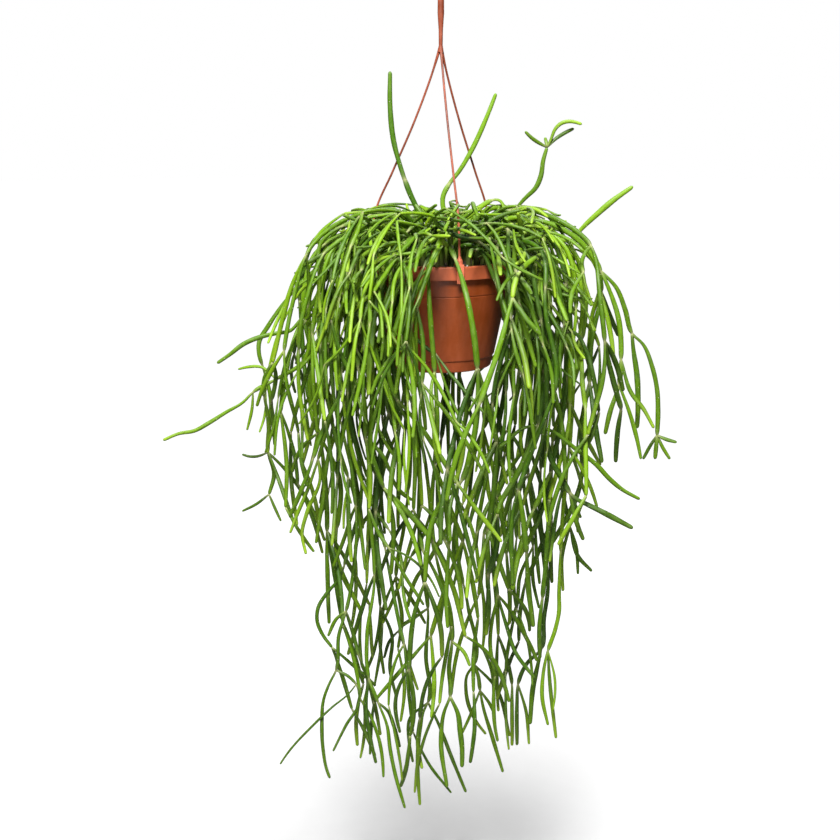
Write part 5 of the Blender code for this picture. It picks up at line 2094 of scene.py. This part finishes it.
@dataclass
class Plant:
    """The plant: one fine piece for each rooted stem with all that grows from it."""

    growth: Growth
    sides: int = 9
    thin: float = 1.7
    ring_step: float = 3.2
    taper: Pair = (0.42, 0.3)
    neck_reach: float = 0.58
    shoulder: float = 6.5
    flatness: float = 0.8
    areole_step: float = 11.0
    areole_size: float = 0.62
    areole_turn: float = math.radians(137.5)
    areole_sides: int = 5
    tender_share: float = 0.3
    tip_fade: Pair = (10.0, 45.0)
    tip_lime: Pair = (0.12, 0.7)
    seed: int = 17
    skins: tuple[StemSkin, ...] = (
        StemSkin(Slot.LIGHT, (0.03, 0.095, 0.0005), (0.16, 0.3, 0.003)),
        StemSkin(Slot.MID, (0.021, 0.072, 0.0005), (0.12, 0.245, 0.002)),
        StemSkin(Slot.DARK, (0.014, 0.05, 0.0005), (0.085, 0.185, 0.001)),
    )

    def __post_init__(self) -> None:
        """Starts the random draws of the surface."""
        self.chance = random.Random(self.seed)

    def places(self, stem: Stem) -> Array:
        """Picks where the rings of a stem lie along it, closer at joints and at the tip.

        Args:
            stem: the stem.

        Returns:
            The lengths from its start.
        """
        marks = lengths(stem.line)[stem.joints]
        spots: list[float] = []
        for start, end in zip(marks, marks[1:]):
            steps = max(4, round((end - start) / self.ring_step))
            spots += [start + (end - start) * step / steps for step in range(steps)]
            spots += [end - self.shoulder * share for share in (0.75, 0.45, 0.2)]
        tip = marks[-1]
        spots += [tip - stem.radius * share for share in (1.0, 0.62, 0.32, 0.12, 0.0)]
        kept = [0.0]
        for spot in sorted(spots):
            if spot > kept[-1] + 0.3 and spot <= tip:
                kept.append(spot)
        kept[-1] = tip
        return np.array(kept)

    def radii(self, stem: Stem, places: Array) -> tuple[Array, Array]:
        """Shapes a stem's thickness: a slim neck after each joint, a full club, and a blunt end.

        Args:
            stem: the stem.
            places: where its rings lie.

        Returns:
            A radius for each ring, and how near each lies to a joint, from 0 to 1.
        """
        marks = lengths(stem.line)[stem.joints]
        widths = np.ones(len(places))
        near = np.zeros(len(places))
        for number, (start, end) in enumerate(zip(marks, marks[1:])):
            inside = (places >= start) & (places <= end + 1e-6)
            grown = np.clip((places[inside] - start) / ((end - start) * self.neck_reach), 0.0, 1.0)
            neck = 0.9 if number == 0 and stem.root else stem.neck
            shape = neck + (1.04 - neck) * np.sin(grown * math.pi / 2)
            left = end - places[inside]
            if number < len(marks) - 2:
                closed = np.clip(1.0 - left / self.shoulder, 0.0, 1.0)
                shape = shape - (shape - stem.neck) * closed * closed
                near[inside] = np.maximum(near[inside], np.exp(-left / 2.2))
            if number or not stem.root:
                near[inside] = np.maximum(near[inside], np.exp(-(places[inside] - start) / 3.0))
            widths[inside] = shape
        left = marks[-1] - places
        fine = np.clip(1.0 - left / ((marks[-1] - marks[-2]) * self.taper[0]), 0.0, 1.0)
        widths *= 1.0 - self.taper[1] * fine**1.6
        blunt = np.clip(left / (stem.radius * 1.05), 0.0, 1.0)
        widths *= np.sqrt(np.clip(1.0 - (1.0 - blunt) ** 2, 0.03, 1.0))
        waves = 0.035 * np.sin(places / 9.0 + self.chance.uniform(0, 6)) + 0.02 * np.sin(places / 3.7)
        return stem.radius * widths * (1.0 + waves), near

    def add_areoles(
        self, draft: Draft, stem: Stem, places: Array, centres: Array, radii: Array, tint: float
    ) -> None:
        """Adds the small woolly cushions that sit in a slow spiral along a stem.

        Args:
            draft: the piece's draft.
            stem: the stem.
            places: where its rings lie.
            centres: its rings' centres.
            radii: their radii.
            tint: the stem's tint.
        """
        across, up = frames(centres)
        angle = self.chance.uniform(0.0, math.tau)
        spot = stem.root + self.chance.uniform(8.0, 14.0)
        sides = self.areole_sides
        base = np.arange(sides) * math.tau / sides
        faces = [(side, (side + 1) % sides, sides) for side in range(sides)]
        faces += [((side + 1) % sides, side, sides + 1) for side in range(sides)]
        blank = np.zeros(sides + 2)
        wool = blank.copy()
        wool[sides] = 0.85
        while spot < places[-1] - 5.0:
            ring = int(np.searchsorted(places, spot))
            out = across[ring] * math.cos(angle) + up[ring] * math.sin(angle)
            along = np.cross(up[ring], across[ring])
            aside = np.cross(out, along)
            flat = out - up[ring] * math.sin(angle) * (1.0 - self.flatness)
            seat = centres[ring] + flat * radii[ring] * 0.93
            size = min(self.areole_size, radii[ring] * 0.3)
            rim = seat + np.outer(np.cos(base) * size, aside) + np.outer(np.sin(base) * size * 1.3, along)
            top = seat + out * (size * 0.42 + radii[ring] * 0.07)
            points = np.vstack((rim, top, seat - out * 0.3))
            skin = np.full((len(points), 3), spot / 10.0)
            draft.add(
                points, faces, tint=blank + tint, young=blank, joint=blank, bark=blank, wool=wool, skin=skin
            )
            angle += self.areole_turn
            spot += self.areole_step * self.chance.uniform(0.75, 1.3)

    def add_stem(self, draft: Draft, stem: Stem, first: bool) -> None:
        """Adds one stem.

        Args:
            draft: the piece's draft.
            stem: the stem.
            first: whether it is the one that stands in the soil.
        """
        places = self.places(stem)
        centres = points_at(stem.line, places)
        radii, near = self.radii(stem, places)
        sides = self.sides if stem.radius > self.thin else self.sides - 2
        tint = self.chance.random() if stem.tint is None else stem.tint
        tender = stem.tint is None and self.chance.random() < self.tender_share
        fade = self.chance.uniform(*self.tip_fade)
        young = np.exp(-(places[-1] - places) / fade) * self.tip_lime[tender]
        bark = np.exp(-np.clip(places - stem.root, 0.0, None) / 12.0) * (0.8 if first else 0.0)
        angles = np.arange(sides) * math.tau / sides
        skin = np.empty((len(places), sides, 3))
        skin[..., 0] = (places[:, None] + self.chance.uniform(0.0, 50.0)) / 10.0
        skin[..., 1] = np.cos(angles) + self.chance.uniform(0, 20)
        skin[..., 2] = np.sin(angles)
        blank = np.zeros(len(places))
        rings = {"tint": blank + tint, "young": young, "joint": near, "bark": bark, "wool": blank}
        values = {name: np.repeat(numbers, sides) for name, numbers in rings.items()}
        points = tube_points(centres, radii, sides, self.flatness)
        draft.add(points, tube_faces(len(places), sides), skin=skin.reshape(-1, 3), **values)
        self.add_areoles(draft, stem, places, centres, radii, tint)

    def build(self, effects: Effects, fixed: Crowd) -> list[Piece]:
        """Grows the plant and builds its pieces.

        Args:
            effects: the shared node groups.
            fixed: what no stem may touch.

        Returns:
            The pieces.
        """
        finishes = [skin.material(effects) for skin in self.skins]
        made = []
        for number, tree in enumerate(self.growth.grow(fixed)):
            draft = Draft()
            for stem in tree:
                self.add_stem(draft, stem, stem is tree[0])
            shade = number % len(finishes)
            name = f"stem_{number + 1:02d}"
            made.append(draft.piece(f"rhipsalis_{name}", finishes[shade], self.skins[shade].slot, name))
        return made


@dataclass
class Studio:
    """The pale floor, the white surroundings, the soft lights and the camera, in metres."""

    floor_level: float = -1.05
    floor_radius: float = 14.0
    floor_greys: Pair = (0.39, 0.41)
    far_grey: float = 0.2
    # Painted shadow: the floor's white glow fades round shade_spot within shade_reach, down to least_glow.
    shade_reach: Pair = (-0.12, 0.52)
    shade_spot: Triple = (-0.005, 0.1, 0.0)
    least_glow: float = 0.02
    ambient: float = 0.035
    aim: Triple = (0.0, 0.0, -0.42)
    lamps: tuple = (
        ("key", (-0.2, -1.42, 1.22), 0.55, 118.0),
        ("fill", (0.35, -1.8, -0.55), 1.2, 7.0),
        ("back", (0.3, 1.5, 0.5), 1.4, 15.0),
    )
    eye: Triple = (-0.02, -1.35, -0.1354)
    tilt: float = math.radians(13.6)
    focal: float = 57.857
    sensor: float = 36.0

    def build(self) -> None:
        """Builds everything round the part."""
        self.add_floor()
        self.add_surroundings()
        for name, place, size, power in self.lamps:
            self.add_lamp(name, place, size, power)
        self.add_camera()
        bpy.context.scene.view_settings.view_transform = "Standard"

    def add_floor(self) -> None:
        """Adds the floor, a wide disc below the lowest tips, which glows white to the camera but for a
        painted shadow under the plant, where the glow fades and the plant's real shade shows.
        """
        work = bmesh.new()
        bmesh.ops.create_circle(work, cap_ends=True, segments=96, radius=self.floor_radius)
        mesh = bpy.data.meshes.new("studio_floor")
        work.to_mesh(mesh)
        work.free()
        floor = placed("studio_floor", mesh)
        floor.location.z = self.floor_level
        paper, shader, surface = new_material("studio_paper")
        where = shader.place()
        grain = shader.spread(shader.noise(where, 35.0, 2.0), 0.3, 0.7)
        shade = shader.mix(grain, *((grey,) * 3 for grey in self.floor_greys))
        reach = shader.node("ShaderNodeVectorMath", operation="DISTANCE")
        shader.feed(reach, (0, where), (1, self.shade_spot))
        # Painted shadow: the glow fades towards shade_spot.
        glow = shader.spread(reach.outputs["Value"], *self.shade_reach, self.least_glow)
        seen = shader.math("MULTIPLY", glow, shader.node("ShaderNodeLightPath").outputs["Is Camera Ray"])
        shader.feed(
            surface,
            Base_Color=shader.mix(glow, shade, (self.far_grey,) * 3),
            Roughness=0.9,
            Emission_Color=shader.mix(seen, (0.0, 0.0, 0.0), (1.0, 1.0, 1.0)),
            Emission_Strength=1.0,
        )
        mesh.materials.append(paper)

    def add_surroundings(self) -> None:
        """Sets white surroundings: full white to look at, and a softer light on the part."""
        world = bpy.data.worlds.new("studio")
        world.use_nodes = True
        shader = Shader(world.node_tree, 1)
        seen = shader.node("ShaderNodeLightPath").outputs["Is Camera Ray"]
        glow = shader.spread(seen, 0.0, 1.0, self.ambient, 1.0)
        shader.feed(world.node_tree.nodes["Background"], Color=(1.0, 1.0, 1.0), Strength=glow)
        bpy.context.scene.world = world

    def add_lamp(self, name: str, place: Triple, size: float, power: float) -> None:
        """Adds a soft square light that shines on the middle of the plant.

        Args:
            name: its name.
            place: where it stands.
            size: its width.
            power: its power in watts.
        """
        lamp = bpy.data.lights.new(name, "AREA")
        lamp.size = size
        lamp.energy = power
        made = placed(name, lamp)
        made.location = place
        made.rotation_euler = (Vector(self.aim) - Vector(place)).to_track_quat("-Z", "Y").to_euler()

    def add_camera(self) -> None:
        """Adds the camera at the height and the angle that the plant is seen from."""
        lens = bpy.data.cameras.new("front_view")
        lens.lens = self.focal
        lens.sensor_width = self.sensor
        camera = placed("front_view", lens)
        camera.location = self.eye
        camera.rotation_euler = (math.pi / 2 - self.tilt, 0.0, 0.0)
        bpy.context.scene.camera = camera


def main() -> None:
    """Builds the studio and every piece in order."""
    logging.basicConfig(level=logging.INFO, format="%(name)s: %(message)s")
    Studio().build()
    effects = Effects()
    POT.build(effects)
    SOIL.build(effects)
    HANGER.build(effects)
    Plant(Growth()).build(effects, HANGER.crowd())


if __name__ == "__main__":
    main()
